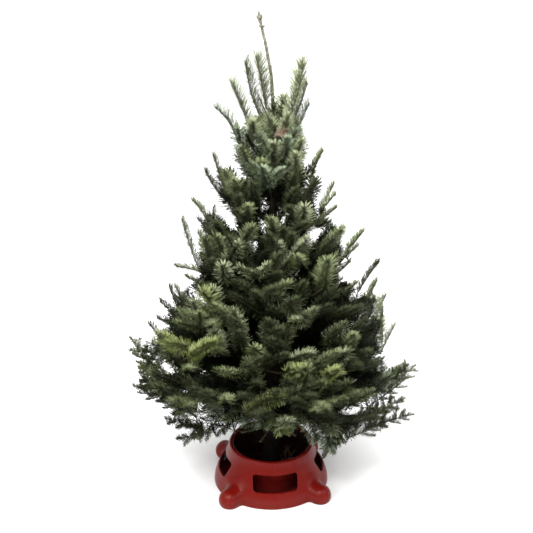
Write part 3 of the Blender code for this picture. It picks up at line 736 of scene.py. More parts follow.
def fits(owner, points, slack, rivals):
    """Whether a shoot keeps to its own bough's space, to the outline, and clear of trunk and stand."""
    tested = np.array(points[1:])
    apart = np.linalg.norm(tested[:, None, :] - all_stems[None, :, :], axis=2)
    own = apart[:, stem_owner == owner].min(1)
    other = apart[:, (stem_owner != owner) & rivals].min(1)
    if (other + slack < own).any():
        return False
    from_trunk = np.linalg.norm(tested[:, None, :] - trunk_points[None, :, :], axis=2)
    if (from_trunk < trunk_radii + TRUNK_CLEARANCE).any():
        return False
    return not near_stand(tested) and shown(tested).all()


def curved(root, way, length, rise, steps=4):
    """A shoot's line, which starts along its way and turns up by a share of its length."""
    points = []
    for step in range(steps + 1):
        t = step / steps
        points.append(root + way * (length * t) + UP * (rise * length * t * t))
    return points


def swept_up(way, share):
    """A direction, turned up by a share."""
    return (way + UP * share).normalized()


SIDE_SHOOT_SPACING = 0.0165
SHORTEST_FINER_SHOOT = 0.026
SHORTEST_TWIG = 0.034
OWN_SLACK, FINER_SLACK, TWIG_SLACK = 0.006, 0.022, 0.030
TWIGS_FROM, MORE_TWIGS_FROM = 0.060, 0.105
HEIGHTS = (0.15, 0.30, 0.50, 0.80)
SWEEPS = (0.06, 0.22, 0.42, 0.60)
RISES = (0.04, 0.12, 0.18, 0.22)
END_SHRINKS = (1.0, 0.85, 0.70, 0.55, 0.40, 0.25)
shoots = []
everywhere = np.ones(len(all_stems), bool)


def add_shoot(owner, points, order, length, spray=None, **more):
    """Keeps a shoot; one that belongs to no other's spray starts its own."""
    spray = len(shoots) if spray is None else spray
    shoots.append(dict(owner=owner, points=points, order=order, length=length, spray=spray, **more))


for owner, grown in enumerate(both):
    tier = grown["tier"]
    line, end_share = grown["line"], grown["end_share"]
    rivals = main_stems if owner < len(limbs) else everywhere
    height = at_share(line, 0.7)[0].z
    sweep = float(np.interp(height, HEIGHTS, SWEEPS))
    rise = float(np.interp(height, HEIGHTS, RISES))
    kept = []
    for root, way, face, length in shoots_of(grown):
        bent = swept_up(way, sweep * 0.6)
        for shrink in SHRINKS:
            if fits(owner, curved(root, bent, length * shrink, rise), OWN_SLACK, rivals):
                kept.append((root, bent, face, length * shrink, 1))
                break
    dice = random.Random(f"{SEED} finer {grown['name']}")
    first = max(tier["bare"] * 0.8, 0.08)
    spare = end_share - first
    count = max(3, int(grown["whole"] * spare / SIDE_SHOOT_SPACING))
    for k in range(count):
        share = first + spare * (k + dice.uniform(0.2, 0.8)) / count
        clock = dice.uniform(-20.0, 200.0) if dice.random() < 0.86 else dice.uniform(205.0, 335.0)
        root, way, face, length = one_shoot(grown, dice, share, clock, dice.choice((-1, 1)))
        length *= dice.uniform(0.62, 1.0)
        bent = swept_up(way, sweep)
        for shrink in FINER_SHRINKS:
            if length * shrink < SHORTEST_FINER_SHOOT:
                break
            if fits(owner, curved(root, bent, length * shrink, rise), FINER_SLACK, everywhere):
                kept.append((root, bent, face, length * shrink, 1))
                break
    root = at_share(line, end_share)[0]
    way = (line[-1] - root).normalized()
    across = way.cross(UP).normalized()
    for shrink in END_SHRINKS:
        length = (line[-1] - root).length * shrink
        if shown([root + way * (length * t) for t in (0.6, 1.0)]).all():
            kept.append((root, way, across.cross(way), length, 0))
            break
    stem = [at_share(line, first + (end_share - first) * k / 8)[0] for k in range(9)]
    add_shoot(owner, stem, 0, grown["whole"] * spare)
    for root, way, face, length, side in kept:
        points = curved(root, way, length, rise if side else 0.0)
        spray = len(shoots)
        add_shoot(owner, points, 1, length)
        pairs = int(length > TWIGS_FROM) + int(length > MORE_TWIGS_FROM)
        for pair in range(pairs):
            for side in (-1, 1):
                t = (pair + 0.35 + 0.25 * dice.random()) / (pairs + 0.30)
                start = at_share(points, t)[0]
                spread = math.radians(dice.uniform(38, 54))
                sideways = face.cross(way).normalized() * side
                lean = math.radians(dice.uniform(-30, 30))
                sideways = sideways * math.cos(lean) + face * math.sin(lean)
                twig_way = swept_up(way * math.cos(spread) + sideways * math.sin(spread), sweep * 0.3)
                size = max(length * (1 - t) * dice.uniform(0.75, 1.0), SHORTEST_TWIG)
                twig = curved(start, twig_way, size, rise, 3)
                if fits(owner, twig, TWIG_SLACK, everywhere):
                    add_shoot(owner, twig, 2, size, spray)

# Short sprays also grow from the trunk itself between the whorls, all round it and up its height. They fill
# the crown next to it.
TRUNK_SPRAYS = 80
SPRAYS_FROM, SPRAYS_OVER = 0.125, 0.66
dice = random.Random(f"{SEED} trunk sprays")
for k in range(TRUNK_SPRAYS):
    height = SPRAYS_FROM + SPRAYS_OVER * (k + dice.random()) / TRUNK_SPRAYS
    foot, thick = trunk_at(height)
    azimuth = 137.5 * k + dice.uniform(-20, 20)
    slope = math.radians(dice.uniform(0, 30) + float(np.interp(height, [0.13, 0.30], [0.0, 25.0])))
    way = direction(azimuth) * math.cos(slope) + UP * math.sin(slope)
    length = dice.uniform(0.06, 0.11) * float(np.interp(height, [0.16, 0.78], [1.1, 0.55]))
    root = foot + direction(azimuth) * (thick * 0.7)
    line = curved(root, way, length, 0.15)
    if shown(line).all():
        add_shoot(int(stem_owner[nearest_stem(line[2])]), line, 1, length)

# The fingers are the long shoots that stand out of the crown in the photo, from root to tip as places across
# and down it. The fans are the shoots that face the camera, each also with how much nearer than the trunk it
# is. Both are read off the photo, in pixels.
FINGERS = [
    [(266, 108), (262, 85), (259, 70), (256, 57)],
    [(264, 124), (253, 102), (248, 82), (245, 63)],
    [(256, 138), (246, 119), (239, 101), (231, 83)],
    [(238, 142), (233, 128), (226, 117), (216, 108)],
    [(288, 124), (296, 100), (301, 80), (304, 64)],
    [(293, 122), (300, 106), (304, 95), (307, 84)],
    [(295, 135), (302, 120), (305, 112), (309, 105)],
    [(286, 126), (286, 116), (285, 108), (284, 101)],
    [(228, 198), (222, 182), (217, 167), (213, 155)],
    [(221, 196), (215, 188), (210, 181), (205, 171)],
    [(312, 174), (316, 165), (319, 158), (323, 151)],
    [(320, 212), (326, 200), (330, 192), (334, 184)],
    [(320, 212), (326, 205), (331, 199), (335, 195)],
    [(315, 226), (322, 219), (330, 213), (336, 208)],
    [(209, 222), (203, 213), (198, 206), (193, 201)],
    [(214, 234), (214, 225), (213, 216), (213, 208)],
    [(211, 236), (206, 229), (202, 223), (198, 219)],
    [(200, 272), (193, 255), (187, 238), (182, 220)],
    [(208, 252), (204, 244), (201, 238), (198, 233)],
    [(202, 272), (194, 270), (186, 268), (178, 267)],
    [(200, 284), (195, 281), (191, 279), (187, 277)],
    [(182, 320), (177, 307), (173, 296), (169, 286)],
    [(188, 312), (183, 302), (179, 293), (175, 286)],
    [(175, 318), (170, 312), (166, 306), (161, 302)],
    [(176, 328), (170, 324), (164, 321), (158, 318)],
    [(164, 348), (159, 338), (155, 330), (149, 324)],
    [(160, 380), (150, 366), (139, 350), (130, 338)],
    [(164, 374), (158, 362), (152, 354), (146, 348)],
    [(160, 380), (153, 374), (147, 369), (141, 365)],
    [(164, 390), (157, 385), (150, 381), (144, 378)],
    [(172, 402), (158, 397), (146, 392), (134, 386)],
    [(200, 428), (188, 425), (177, 422), (166, 419)],
    [(202, 422), (196, 428), (190, 435), (184, 443)],
    [(232, 420), (226, 424), (221, 429), (217, 434)],
    [(338, 246), (340, 239), (342, 232), (344, 227)],
    [(346, 252), (352, 245), (358, 238), (363, 232)],
    [(340, 262), (346, 256), (352, 251), (358, 246)],
    [(334, 276), (340, 271), (345, 267), (350, 262)],
    [(326, 288), (332, 285), (337, 282), (342, 279)],
    [(358, 292), (365, 281), (372, 271), (379, 262)],
    [(342, 296), (347, 292), (352, 287), (357, 283)],
    [(368, 300), (371, 293), (374, 287), (377, 281)],
    [(374, 322), (378, 312), (382, 303), (386, 295)],
    [(382, 342), (383, 330), (383, 318), (383, 307)],
    [(380, 354), (385, 344), (390, 334), (395, 325)],
    [(366, 396), (382, 386), (394, 376), (405, 364)],
    [(392, 386), (401, 378), (408, 371), (415, 366)],
    [(364, 421), (378, 413), (391, 405), (405, 398)],
    [(366, 429), (384, 423), (400, 417), (413, 415)],
    [(374, 382), (379, 377), (383, 372), (387, 368)],
    [(350, 437), (364, 432), (377, 427), (389, 421)],
    [(352, 424), (366, 419), (380, 413), (392, 407)],
    [(372, 404), (384, 396), (396, 387), (408, 377)],
    [(168, 396), (158, 391), (149, 384), (141, 376)],
    [(196, 412), (184, 410), (172, 406), (160, 402)],
    [(212, 426), (206, 430), (200, 434), (195, 437)],
    [(336, 432), (334, 440), (330, 448), (325, 457)],
    [(350, 424), (344, 430), (341, 436), (339, 443)],
]
FANS = [
    [(242, 350), (240, 338), (237, 325), (234, 313), 0.150],
    [(258, 392), (255, 382), (252, 372), (250, 362), 0.165],
    [(222, 350), (219, 345), (217, 339), (215, 334), 0.150],
    [(274, 358), (272, 348), (269, 338), (266, 328), 0.130],
    [(276, 358), (280, 348), (284, 338), (288, 328), 0.130],
    [(262, 293), (276, 296), (291, 306), (304, 323), 0.150],
    [(228, 282), (226, 277), (224, 272), (223, 267), 0.120],
    [(246, 262), (243, 250), (246, 238), (252, 229), 0.100],
    [(262, 296), (278, 278), (295, 256), (310, 240), 0.120],
    [(280, 262), (279, 257), (279, 252), (277, 246), 0.110],
    [(300, 236), (302, 226), (303, 216), (304, 209), 0.100],
    [(270, 162), (272, 157), (273, 152), (274, 146), 0.065],
    [(243, 196), (243, 192), (244, 188), (246, 184), 0.070],
    [(258, 172), (259, 170), (261, 168), (262, 164), 0.070],
    [(322, 288), (324, 280), (326, 270), (328, 262), 0.150],
    [(284, 374), (291, 372), (298, 371), (305, 369), 0.190],
    [(304, 388), (303, 382), (304, 375), (307, 369), 0.195],
    [(314, 381), (323, 379), (331, 375), (338, 371), 0.190],
    [(244, 412), (256, 404), (268, 400), (281, 398), 0.185],
    [(272, 412), (275, 419), (279, 426), (283, 432), 0.150],
    [(188, 358), (197, 352), (206, 347), (215, 343), 0.175],
    [(180, 350), (172, 345), (165, 340), (159, 335), 0.135],
    [(202, 332), (200, 322), (197, 313), (193, 304), 0.100],
    [(214, 312), (211, 305), (208, 299), (203, 292), 0.140],
    [(196, 338), (190, 330), (186, 322), (183, 314), 0.080],
    [(222, 312), (218, 306), (214, 298), (212, 290), 0.120],
    [(186, 372), (178, 364), (172, 356), (168, 350), 0.080],
    [(212, 262), (210, 255), (208, 248), (205, 241), 0.080],
    [(222, 268), (228, 262), (233, 255), (238, 246), 0.110],
    [(226, 246), (222, 240), (219, 233), (217, 226), 0.080],
    [(204, 356), (192, 350), (180, 346), (168, 344), 0.150],
    [(262, 408), (257, 414), (251, 420), (246, 425), 0.130],
    [(270, 406), (268, 413), (265, 420), (262, 426), 0.140],
    [(284, 406), (289, 413), (293, 420), (296, 426), 0.130],
    [(250, 402), (242, 408), (234, 414), (228, 419), 0.120],
    [(292, 400), (300, 407), (307, 414), (312, 421), 0.120],
    [(232, 398), (224, 404), (215, 409), (207, 413), 0.110],
    [(320, 404), (326, 413), (330, 422), (333, 431), 0.100],
    [(302, 412), (309, 421), (314, 431), (317, 440), 0.100],
    [(322, 416), (327, 426), (329, 436), (328, 446), 0.090],
    [(340, 416), (341, 425), (338, 434), (333, 443), 0.080],
    [(356, 398), (368, 391), (379, 384), (389, 377), 0.060],
    [(372, 390), (384, 383), (395, 376), (405, 369), 0.050],
    [(352, 386), (364, 378), (374, 370), (382, 362), 0.060],
    [(322, 368), (330, 363), (338, 358), (348, 353), 0.160],
    [(300, 394), (308, 392), (316, 388), (323, 384), 0.180],
    [(290, 364), (297, 360), (304, 357), (311, 355), 0.170],
    [(322, 396), (331, 394), (340, 390), (348, 385), 0.150],
    [(276, 398), (284, 396), (292, 394), (300, 390), 0.180],
    [(366, 352), (372, 342), (377, 332), (380, 322), 0.030],
    [(360, 332), (367, 322), (372, 311), (374, 300), 0.030],
    [(176, 360), (168, 354), (160, 348), (152, 343), 0.050],
    [(196, 372), (187, 368), (178, 363), (169, 359), 0.060],
    [(184, 382), (174, 380), (163, 378), (153, 374), 0.050],
    [(190, 396), (178, 395), (166, 391), (155, 387), 0.050],
    [(210, 388), (200, 386), (189, 384), (180, 379), 0.090],
    [(196, 416), (188, 411), (180, 405), (172, 399), 0.060],
    [(254, 170), (248, 158), (242, 146), (237, 131), 0.050],
    [(264, 164), (256, 154), (250, 144), (246, 136), 0.055],
]
FRESH_PATCHES = [
    (206, 288, 11), (252, 291, 8), (170, 346, 13), (213, 342, 10), (318, 368, 16), (340, 378, 12),
    (262, 402, 11), (282, 426, 9), (290, 277, 6), (228, 272, 6), (300, 398, 8), (176, 386, 7),
]
CREST_FINGERS = 8
FAN_TINTS = {14: "green", 15: "fresh", 17: "fresh", 18: "fresh", 19: "fresh", 20: "fresh", 21: "fresh",
             23: "fresh", 30: "fresh", 58: "deep", 59: "green"}
TWIGGY_BELOW = 330
LOW_TWIG_SPACING = 0.0125
CREST_COMB, SIDE_COMB, LOW_COMB = 0.0265, 0.0178, 0.0150
JOINED_FROM = 0.004
connectors = []


def smooth_path(path, steps):
    """A line through the points of a path, rounded."""
    knots = np.linspace(0, len(path) - 1, steps + 1)
    places = np.array(path)
    line = np.stack([np.interp(knots, range(len(path)), places[:, k]) for k in range(3)], axis=1)
    for _ in range(3):
        line[1:-1] = (line[:-2] + 2 * line[1:-1] + line[2:]) / 4
    return [Vector(point) for point in line]


def grown_along(picture_line, nearer_root, nearer_tip):
    """A shoot's line, drawn in the photo, and the twig that joins it to the nearest bough."""
    last = len(picture_line) - 1
    path = [from_picture(x, y, nearer_root + (nearer_tip - nearer_root) * k / last)
            for k, (x, y) in enumerate(picture_line)]
    nearest = nearest_stem(path[0])
    owner, start = int(stem_owner[nearest]), Vector(all_stems[nearest])
    line = smooth_path(path, 8)
    if (start - line[0]).length > JOINED_FROM:
        connectors.append([start, start.lerp(line[0], 0.5) - UP * 0.004, line[0]])
        add_shoot(owner, smooth_path(connectors[-1], 4), 0, (start - line[0]).length)
    return owner, line, length_of(line)


for index, picture_line in enumerate(FINGERS):
    dice = random.Random(f"{SEED} finger {index}")
    nearer = dice.uniform(-0.02, 0.05)
    owner, line, length = grown_along(picture_line, nearer, nearer + dice.uniform(-0.01, 0.02))
    spray = len(shoots)
    twiggy = picture_line[-1][1] >= TWIGGY_BELOW
    comb = LOW_COMB if twiggy else CREST_COMB if index < CREST_FINGERS else SIDE_COMB
    add_shoot(owner, line, 1, length, finger=True, comb=comb, ragged=twiggy)
    if not twiggy:
        continue
    count = int(length / LOW_TWIG_SPACING)
    for k in range(count):
        t = 0.06 + 0.72 * (k + dice.uniform(0.2, 0.8)) / count
        start, way = at_share(line, t)
        sideways = way.cross(look_along).normalized() * (-1) ** k + look_along * dice.uniform(-0.5, 0.5)
        spread = math.radians(dice.uniform(35, 55))
        size = dice.uniform(0.020, 0.034) * (1.15 - 0.6 * t)
        twig = curved(start, way * math.cos(spread) + sideways.normalized() * math.sin(spread), size, 0.15, 3)
        add_shoot(owner, twig, 2, size, spray, small=True, ragged=True)
for index, (*picture_line, nearer) in enumerate(FANS):
    owner, line, length = grown_along(picture_line, nearer - 0.02, nearer + 0.02)
    add_shoot(owner, line, 1, length, fan=True, tint=FAN_TINTS.get(index))

# The last twigs reach into what is still empty of the crown, each from the nearest shoot below and inside.
EMPTY_GAP = 0.0235
FILL_TRIES = 9000
FILL_ROUNDS = 3
FILL_HEIGHTS = (0.135, 0.80)
FILL_LENGTHS = (0.055, 0.095)
FILL_LIFTS = (0.25, 0.55, 0.95, 1.4)
FILL_FARTHEST_ROOT = 0.060
QUARTERS = (0.0, 0.25, 0.5, 0.75, 1.0)
BLOCK = 500


def crown_reach(height, azimuth):
    """How far the crown reaches at a height towards an azimuth, from the tips of the tiers."""
    heights, reaches = [], []
    for tier in reversed(TIERS):
        heights.append(by_side(tier["tip"], azimuth))
        reaches.append(by_side(tier["reach"], azimuth))
    order = np.argsort(heights)
    return float(np.interp(height, np.array(heights)[order], np.array(reaches)[order]))


dice = random.Random(f"{SEED} fill")
wanted = []
for _ in range(FILL_TRIES):
    height = dice.uniform(*FILL_HEIGHTS)
    azimuth = dice.uniform(0.0, 360.0)
    out = crown_reach(height, azimuth) * math.sqrt(dice.uniform(0.12, 1.0))
    wanted.append(direction(azimuth) * out + Vector((0, 0, height)))
wanted = np.array(wanted)
wanted = wanted[shown(wanted)]
grown_points = np.array([at_share(shoot["points"], t)[0] for shoot in shoots for t in QUARTERS])
low_trunk = np.array([trunk_at(0.12 + 0.01 * k)[0] for k in range(20)])
grown_points = np.concatenate([grown_points, low_trunk])
nearest_grown = np.full(len(wanted), 9.0)
for block in range(0, len(wanted), BLOCK):
    part = wanted[block:block + BLOCK]
    nearest_grown[block:block + BLOCK] = np.linalg.norm(part[:, None] - grown_points[None], axis=2).min(1)
for _ in range(FILL_ROUNDS):
    for k in range(len(wanted)):
        if nearest_grown[k] < EMPTY_GAP:
            continue
        tip = Vector(wanted[k])
        outward = Vector((tip.x, tip.y, 0.0)).normalized()
        lift = float(np.interp(tip.z, HEIGHTS, FILL_LIFTS)) * dice.uniform(0.7, 1.3)
        sideways = UP.cross(outward) * dice.uniform(-0.6, 0.6)
        way = (outward + UP * lift + sideways).normalized()
        aim = tip - way * dice.uniform(*FILL_LENGTHS)
        apart = np.linalg.norm(grown_points - np.array(aim), axis=1)
        start = int(apart.argmin())
        if apart[start] > FILL_FARTHEST_ROOT:
            continue
        root = Vector(grown_points[start])
        line = [root * (1 - t) ** 2 + aim.lerp(tip, 0.35) * (2 * t * (1 - t)) + tip * t**2 for t in QUARTERS]
        new_points = np.array(line)
        if near_stand(new_points) or not shown(new_points[2:]).all():
            continue
        add_shoot(int(stem_owner[nearest_stem(line[2])]), line, 1, length_of(line))
        grown_points = np.concatenate([grown_points, new_points[1:]])
        new_apart = np.linalg.norm(wanted[:, None] - new_points[None, 2:], axis=2).min(1)
        nearest_grown = np.minimum(nearest_grown, new_apart)

# The needles: flat and blunt, dark above and paler below, in rows round a shoot, mostly on its upper side.
# Each is a closed strip of four faces. Every spray has its own tint, and the tints are joined meshes of their
# own.
# Low sprays take darker tints the deeper they lie in the crown, near black deepest in, as painted shade.
NEEDLE_LENGTH = 0.0212
NEEDLE_WIDTH = 0.0016
NEEDLE_TWIST = math.radians(24.0)
NEEDLE_ROWS = (-0.875, -0.625, -0.375, -0.125, 0.125, 0.375, 0.625, 0.875)
ROWS_REACH_LEVEL, ROWS_REACH_STEEP = 112.0, 180.0
LENGTHS_TO_TIP = (0.0, 0.012, 0.030), (0.66, 0.88, 1.0)
LEANS_TO_TIP = (0.0, 0.010, 0.030), (36.0, 47.0, 54.0)
UNEVEN_TO_TIP = (0.0, 0.008), (17.0, 6.0)
ROOT_SHARE, TIP_SHARE = 0.32, 0.42
NEEDLE_TOTAL = 236000
MOST_NEEDLES = 49000
SIZE_BY_ORDER = (0.9, 1.0, 0.88)
SHARE_ON_OLD_WOOD = 0.45
SHARE_TURNED_OVER = 0.28
FACE_JITTER = 0.36
TINTS = {
    # The near-black tint is painted shade for sprays deep inside the crown; the dark one after it is older
    # foliage, and painted shade where depth gives it.
    "inner_shade": ((0.0035, 0.0048, 0.0015), (0.008, 0.011, 0.004), 0.05),
    "deep": ((0.0125, 0.0172, 0.0050), (0.040, 0.049, 0.021), 0.10),
    "green": ((0.047, 0.064, 0.016), (0.152, 0.177, 0.082), 0.25),
    "grey": ((0.082, 0.099, 0.039), (0.222, 0.249, 0.143), 0.25),
    "blue": ((0.048, 0.069, 0.033), (0.182, 0.222, 0.136), 0.25),
    "fresh": ((0.094, 0.118, 0.024), (0.200, 0.230, 0.085), 0.25),
}
ROUGH_ABOVE, ROUGH_BELOW = 0.42, 0.55
OUTER_TINTS = ("deep", "green", "grey", "blue", "fresh")
TINT_SHARES = (0.32, 0.36, 0.19, 0.10, 0.03)
HIGH_TINT_SHARES = (0.03, 0.33, 0.42, 0.22, 0.0)
FAN_TINT_SHARES = (0.0, 0.28, 0.46, 0.26, 0.0)
FINGER_TINT_SHARES = (0.35, 0.50, 0.15, 0.0, 0.0)
HIGH_SHOOTS_FROM = 0.66
PALE_FANS_FROM = 0.085
FRESH_CHANCE = 0.75
BLACK_SHADE_DEPTH, DARK_SHADE_DEPTH = 0.062, 0.030
COMB_REACH = 88.0
COMB_DENSITY, CORE_DENSITY = 0.95, 0.75
FINGER_CORE, SMALL_COMB, SMALL_CORE = 0.0100, 0.0125, 0.0090
NEAT_LEANS, RAGGED_LEANS = (0.86, 0.62), (1.18, 1.05)
FAN_LENGTH, FAN_DENSITY = 1.22, 1.4


def needles_along(points, dice, density, size, reach_of_rows=None, facing=UP, lean_share=1.0):
    """The needles of one shoot: roots, tips, side vectors and faces, as arrays."""
    line = np.array(points)
    steps = np.linalg.norm(np.diff(line, axis=0), axis=1)
    whole = steps.sum()
    steepness = abs(line[-1, 2] - line[0, 2]) / max(np.linalg.norm(line[-1] - line[0]), 1e-6)
    if reach_of_rows is None:
        reach_of_rows = np.interp(steepness, [0.25, 0.75], [ROWS_REACH_LEVEL, ROWS_REACH_STEEP])
    rows = np.radians(np.array(NEEDLE_ROWS) * reach_of_rows)
    in_row = max(int(round(whole * density / len(rows))), 2)
    offsets = (np.arange(len(rows)) % 2) * 0.5
    t = (np.arange(in_row)[:, None] + offsets[None, :] + 0.25) / in_row
    t = np.clip(t + dice.normal(0, 0.12 / in_row, t.shape), 0.0, 1.0).ravel() ** 0.87
    clock = (np.tile(rows, (in_row, 1)) + dice.normal(0, 0.12, (in_row, len(rows)))).ravel()
    count = len(t)
    reach = np.concatenate([[0.0], np.cumsum(steps)]) / whole
    roots = np.stack([np.interp(t, reach, line[:, k]) for k in range(3)], axis=1)
    segment = np.clip(np.searchsorted(reach, t, side="right") - 1, 0, len(steps) - 1)
    along = (np.diff(line, axis=0) / steps[:, None])[segment]
    top = np.array(facing)
    up = top - along * (along @ top)[:, None]
    up /= np.maximum(np.linalg.norm(up, axis=1, keepdims=True), 1e-6)
    across = np.cross(along, up)
    outward = up * np.cos(clock)[:, None] + across * np.sin(clock)[:, None]
    from_tip = (1.0 - t) * whole
    lean = np.interp(from_tip, *LEANS_TO_TIP) * lean_share - 10.0 * np.cos(clock)
    lean += dice.normal(0, 1, count) * np.interp(from_tip, *UNEVEN_TO_TIP)
    lean = np.radians(np.clip(lean, 3.0, 80.0))
    way = along * np.cos(lean)[:, None] + outward * np.sin(lean)[:, None] + up * 0.15
    way /= np.linalg.norm(way, axis=1, keepdims=True)
    long = size * np.interp(from_tip, *LENGTHS_TO_TIP) * dice.uniform(0.82, 1.12, count)
    long *= 0.80 + 0.20 * np.abs(np.sin(clock))
    face = up - along * (0.5 * np.cos(clock))[:, None] + FACE_JITTER * dice.normal(0, 1, (count, 3))
    face -= way * (face * way).sum(1)[:, None]
    face /= np.maximum(np.linalg.norm(face, axis=1, keepdims=True), 1e-6)
    face *= np.where(dice.random(count) < SHARE_TURNED_OVER, -1.0, 1.0)[:, None]
    side = np.cross(way, face)
    return roots, roots + way * long[:, None], side, face


def needle_mesh(name, roots, tips, sides, faces_up):
    """One joined mesh of closed needles: two faces above, two below."""
    count = len(roots)
    turned = sides * math.cos(NEEDLE_TWIST) + faces_up * math.sin(NEEDLE_TWIST)
    points = np.stack([
        roots - sides * (NEEDLE_WIDTH * ROOT_SHARE),
        roots + sides * (NEEDLE_WIDTH * ROOT_SHARE),
        tips - turned * (NEEDLE_WIDTH * TIP_SHARE),
        tips + turned * (NEEDLE_WIDTH * TIP_SHARE),
    ], axis=1).reshape(-1, 3)
    base = np.arange(count)[:, None] * 4
    corners = np.array([[0, 1, 3], [0, 3, 2], [0, 2, 1], [1, 2, 3]])
    triangles = (base[:, :, None] + corners[None]).reshape(-1, 3)
    mesh = bpy.data.meshes.new(name)
    mesh.vertices.add(len(points))
    mesh.vertices.foreach_set("co", points.astype(np.float32).ravel())
    mesh.loops.add(triangles.size)
    mesh.loops.foreach_set("vertex_index", triangles.astype(np.int32).ravel())
    mesh.polygons.add(len(triangles))
    mesh.polygons.foreach_set("loop_start", np.arange(0, triangles.size, 3, dtype=np.int32))
    mesh.polygons.foreach_set("material_index", np.tile(np.array([0, 0, 1, 1], np.int32), count))
    mesh.update(calc_edges=True)
    mesh.validate()
    obj = bpy.data.objects.new(name, mesh)
    scene.collection.objects.link(obj)
    return obj


foliage_nodes = sorted(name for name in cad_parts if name.startswith("foliage"))
numbers = np.random.default_rng(SEED)
weighted = sum(shoot["length"] * (SHARE_ON_OLD_WOOD if shoot["order"] == 0 else 1.0) for shoot in shoots)
per_metre = NEEDLE_TOTAL / weighted
by_tint = {tint: [] for tint in TINTS}
spray_tints = {}
for shoot in shoots:
    density = per_metre * (SHARE_ON_OLD_WOOD if shoot["order"] == 0 else 1.0)
    size = NEEDLE_LENGTH * SIZE_BY_ORDER[shoot["order"]] * numbers.uniform(0.9, 1.08)
    middle = at_share(shoot["points"], 0.6)[0]
    is_high, is_finger, is_fan = middle.z > HIGH_SHOOTS_FROM, shoot.get("finger"), shoot.get("fan")
    if shoot["spray"] not in spray_tints:
        shares = HIGH_TINT_SHARES if is_high else TINT_SHARES
        if is_fan and in_picture(middle)[2][0] > PALE_FANS_FROM:
            shares = FAN_TINT_SHARES
        elif is_finger and middle.z < HIGH_SHOOTS_FROM:
            shares = FINGER_TINT_SHARES
        spray_tints[shoot["spray"]] = numbers.choice(OUTER_TINTS, p=shares)
    tint = shoot.get("tint") or spray_tints[shoot["spray"]]
    if is_finger or shoot.get("small"):
        tint = "grey" if tint == "fresh" else tint
        inward = (UP * 0.7 - Vector((middle.x, middle.y, 0)).normalized()).normalized()
        comb, core = (shoot["comb"], FINGER_CORE) if is_finger else (SMALL_COMB, SMALL_CORE)
        comb_lean, core_lean = RAGGED_LEANS if shoot["ragged"] else NEAT_LEANS
        by_tint[tint].append(needles_along(
            shoot["points"], numbers, density * COMB_DENSITY, comb, COMB_REACH, inward, comb_lean))
        by_tint[tint].append(needles_along(
            shoot["points"], numbers, density * CORE_DENSITY, core, ROWS_REACH_STEEP, inward, core_lean))
        continue
    if is_fan:
        by_tint[tint].append(needles_along(
            shoot["points"], numbers, density * FAN_DENSITY, NEEDLE_LENGTH * FAN_LENGTH))
        continue
    across, down, nearer = in_picture(shoot["points"][-1])
    if nearer[0] > 0.0:
        fresh_here = any(math.hypot(across[0] - x, down[0] - y) < radius for x, y, radius in FRESH_PATCHES)
        if fresh_here and numbers.random() < FRESH_CHANCE:
            tint = "fresh"
    azimuth = math.degrees(math.atan2(middle.x, -middle.y))
    depth = crown_reach(middle.z, azimuth) - math.hypot(middle.x, middle.y)
    # Painted shade: low sprays deep in the crown are tinted darker, and near black deepest in.
    if middle.z < HIGH_SHOOTS_FROM:
        if depth > BLACK_SHADE_DEPTH:
            tint = "inner_shade"
        elif depth > DARK_SHADE_DEPTH and tint in ("grey", "fresh", "blue"):
            tint = "deep"
    by_tint[tint].append(needles_along(shoot["points"], numbers, density, size))
for tint, grown_needles in by_tint.items():
    roots, tips, sides, lifts = (np.concatenate(part) for part in zip(*grown_needles))
    upper, lower, shine = TINTS[tint]
    above = plain_material(f"needle_{tint}_above", upper, ROUGH_ABOVE, shine)
    below = plain_material(f"needle_{tint}_below", lower, ROUGH_BELOW, shine)
    pieces = math.ceil(len(roots) / MOST_NEEDLES)
    for k in range(pieces):
        own = slice(k * len(roots) // pieces, (k + 1) * len(roots) // pieces)
        piece = needle_mesh(f"needles_{tint}_{k + 1}", roots[own], tips[own], sides[own], lifts[own])
        piece.data.materials.append(above)
        piece.data.materials.append(below)
        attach(piece, "root")
        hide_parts(*foliage_nodes)

# The twigs that carry the needles: the boughs' own stems inside the foliage, the side twigs and the finest
# twigs, each kind one joined mesh of thin closed tubes. Their bark is young, brown and dull.
TWIG_COLOUR = (0.060, 0.052, 0.022)
TWIG_SHINE = 0.25
STEM_STEPS = 12
SIDE_TWIG_RADII, CONNECTOR_RADII, FINE_TWIG_RADII = (0.0012, 0.0006), (0.0016, 0.0012), (0.0008, 0.0005)


def tubes(name, lines, radii, sides):
    """Closed tubes along lines, joined into one piece; each line has its first and last radius."""
    points, faces = [], []
    offset = 0
    for line, (thick, thin) in zip(lines, radii):
        line = np.array(line)
        count = len(line)
        tangent = np.gradient(line, axis=0)
        tangent /= np.linalg.norm(tangent, axis=1, keepdims=True)
        reference = np.array([0.0, 0.0, 1.0]) if abs(tangent[0, 2]) < 0.9 else np.array([0.0, 1.0, 0.0])
        across = np.cross(tangent, reference)
        across /= np.linalg.norm(across, axis=1, keepdims=True)
        upright = np.cross(across, tangent)
        radius = np.linspace(thick, thin, count)[:, None]
        turns = (2 * math.pi * np.arange(sides) / sides)[None, :, None]
        ring = across[:, None] * np.cos(turns) + upright[:, None] * np.sin(turns)
        points.append((line[:, None, :] + ring * radius[:, None, :]).reshape(-1, 3))
        for step in range(count - 1):
            low = offset + step * sides
            for side in range(sides):
                after = (side + 1) % sides
                faces.append((low + side, low + sides + side, low + sides + after, low + after))
        faces.append(tuple(offset + side for side in range(sides)))
        last = offset + (count - 1) * sides
        faces.append(tuple(last + side for side in reversed(range(sides))))
        offset += count * sides
    mesh = bpy.data.meshes.new(name)
    mesh.from_pydata(np.concatenate(points).tolist(), [], faces)
    mesh.shade_smooth()
    obj = bpy.data.objects.new(name, mesh)
    scene.collection.objects.link(obj)
    return obj


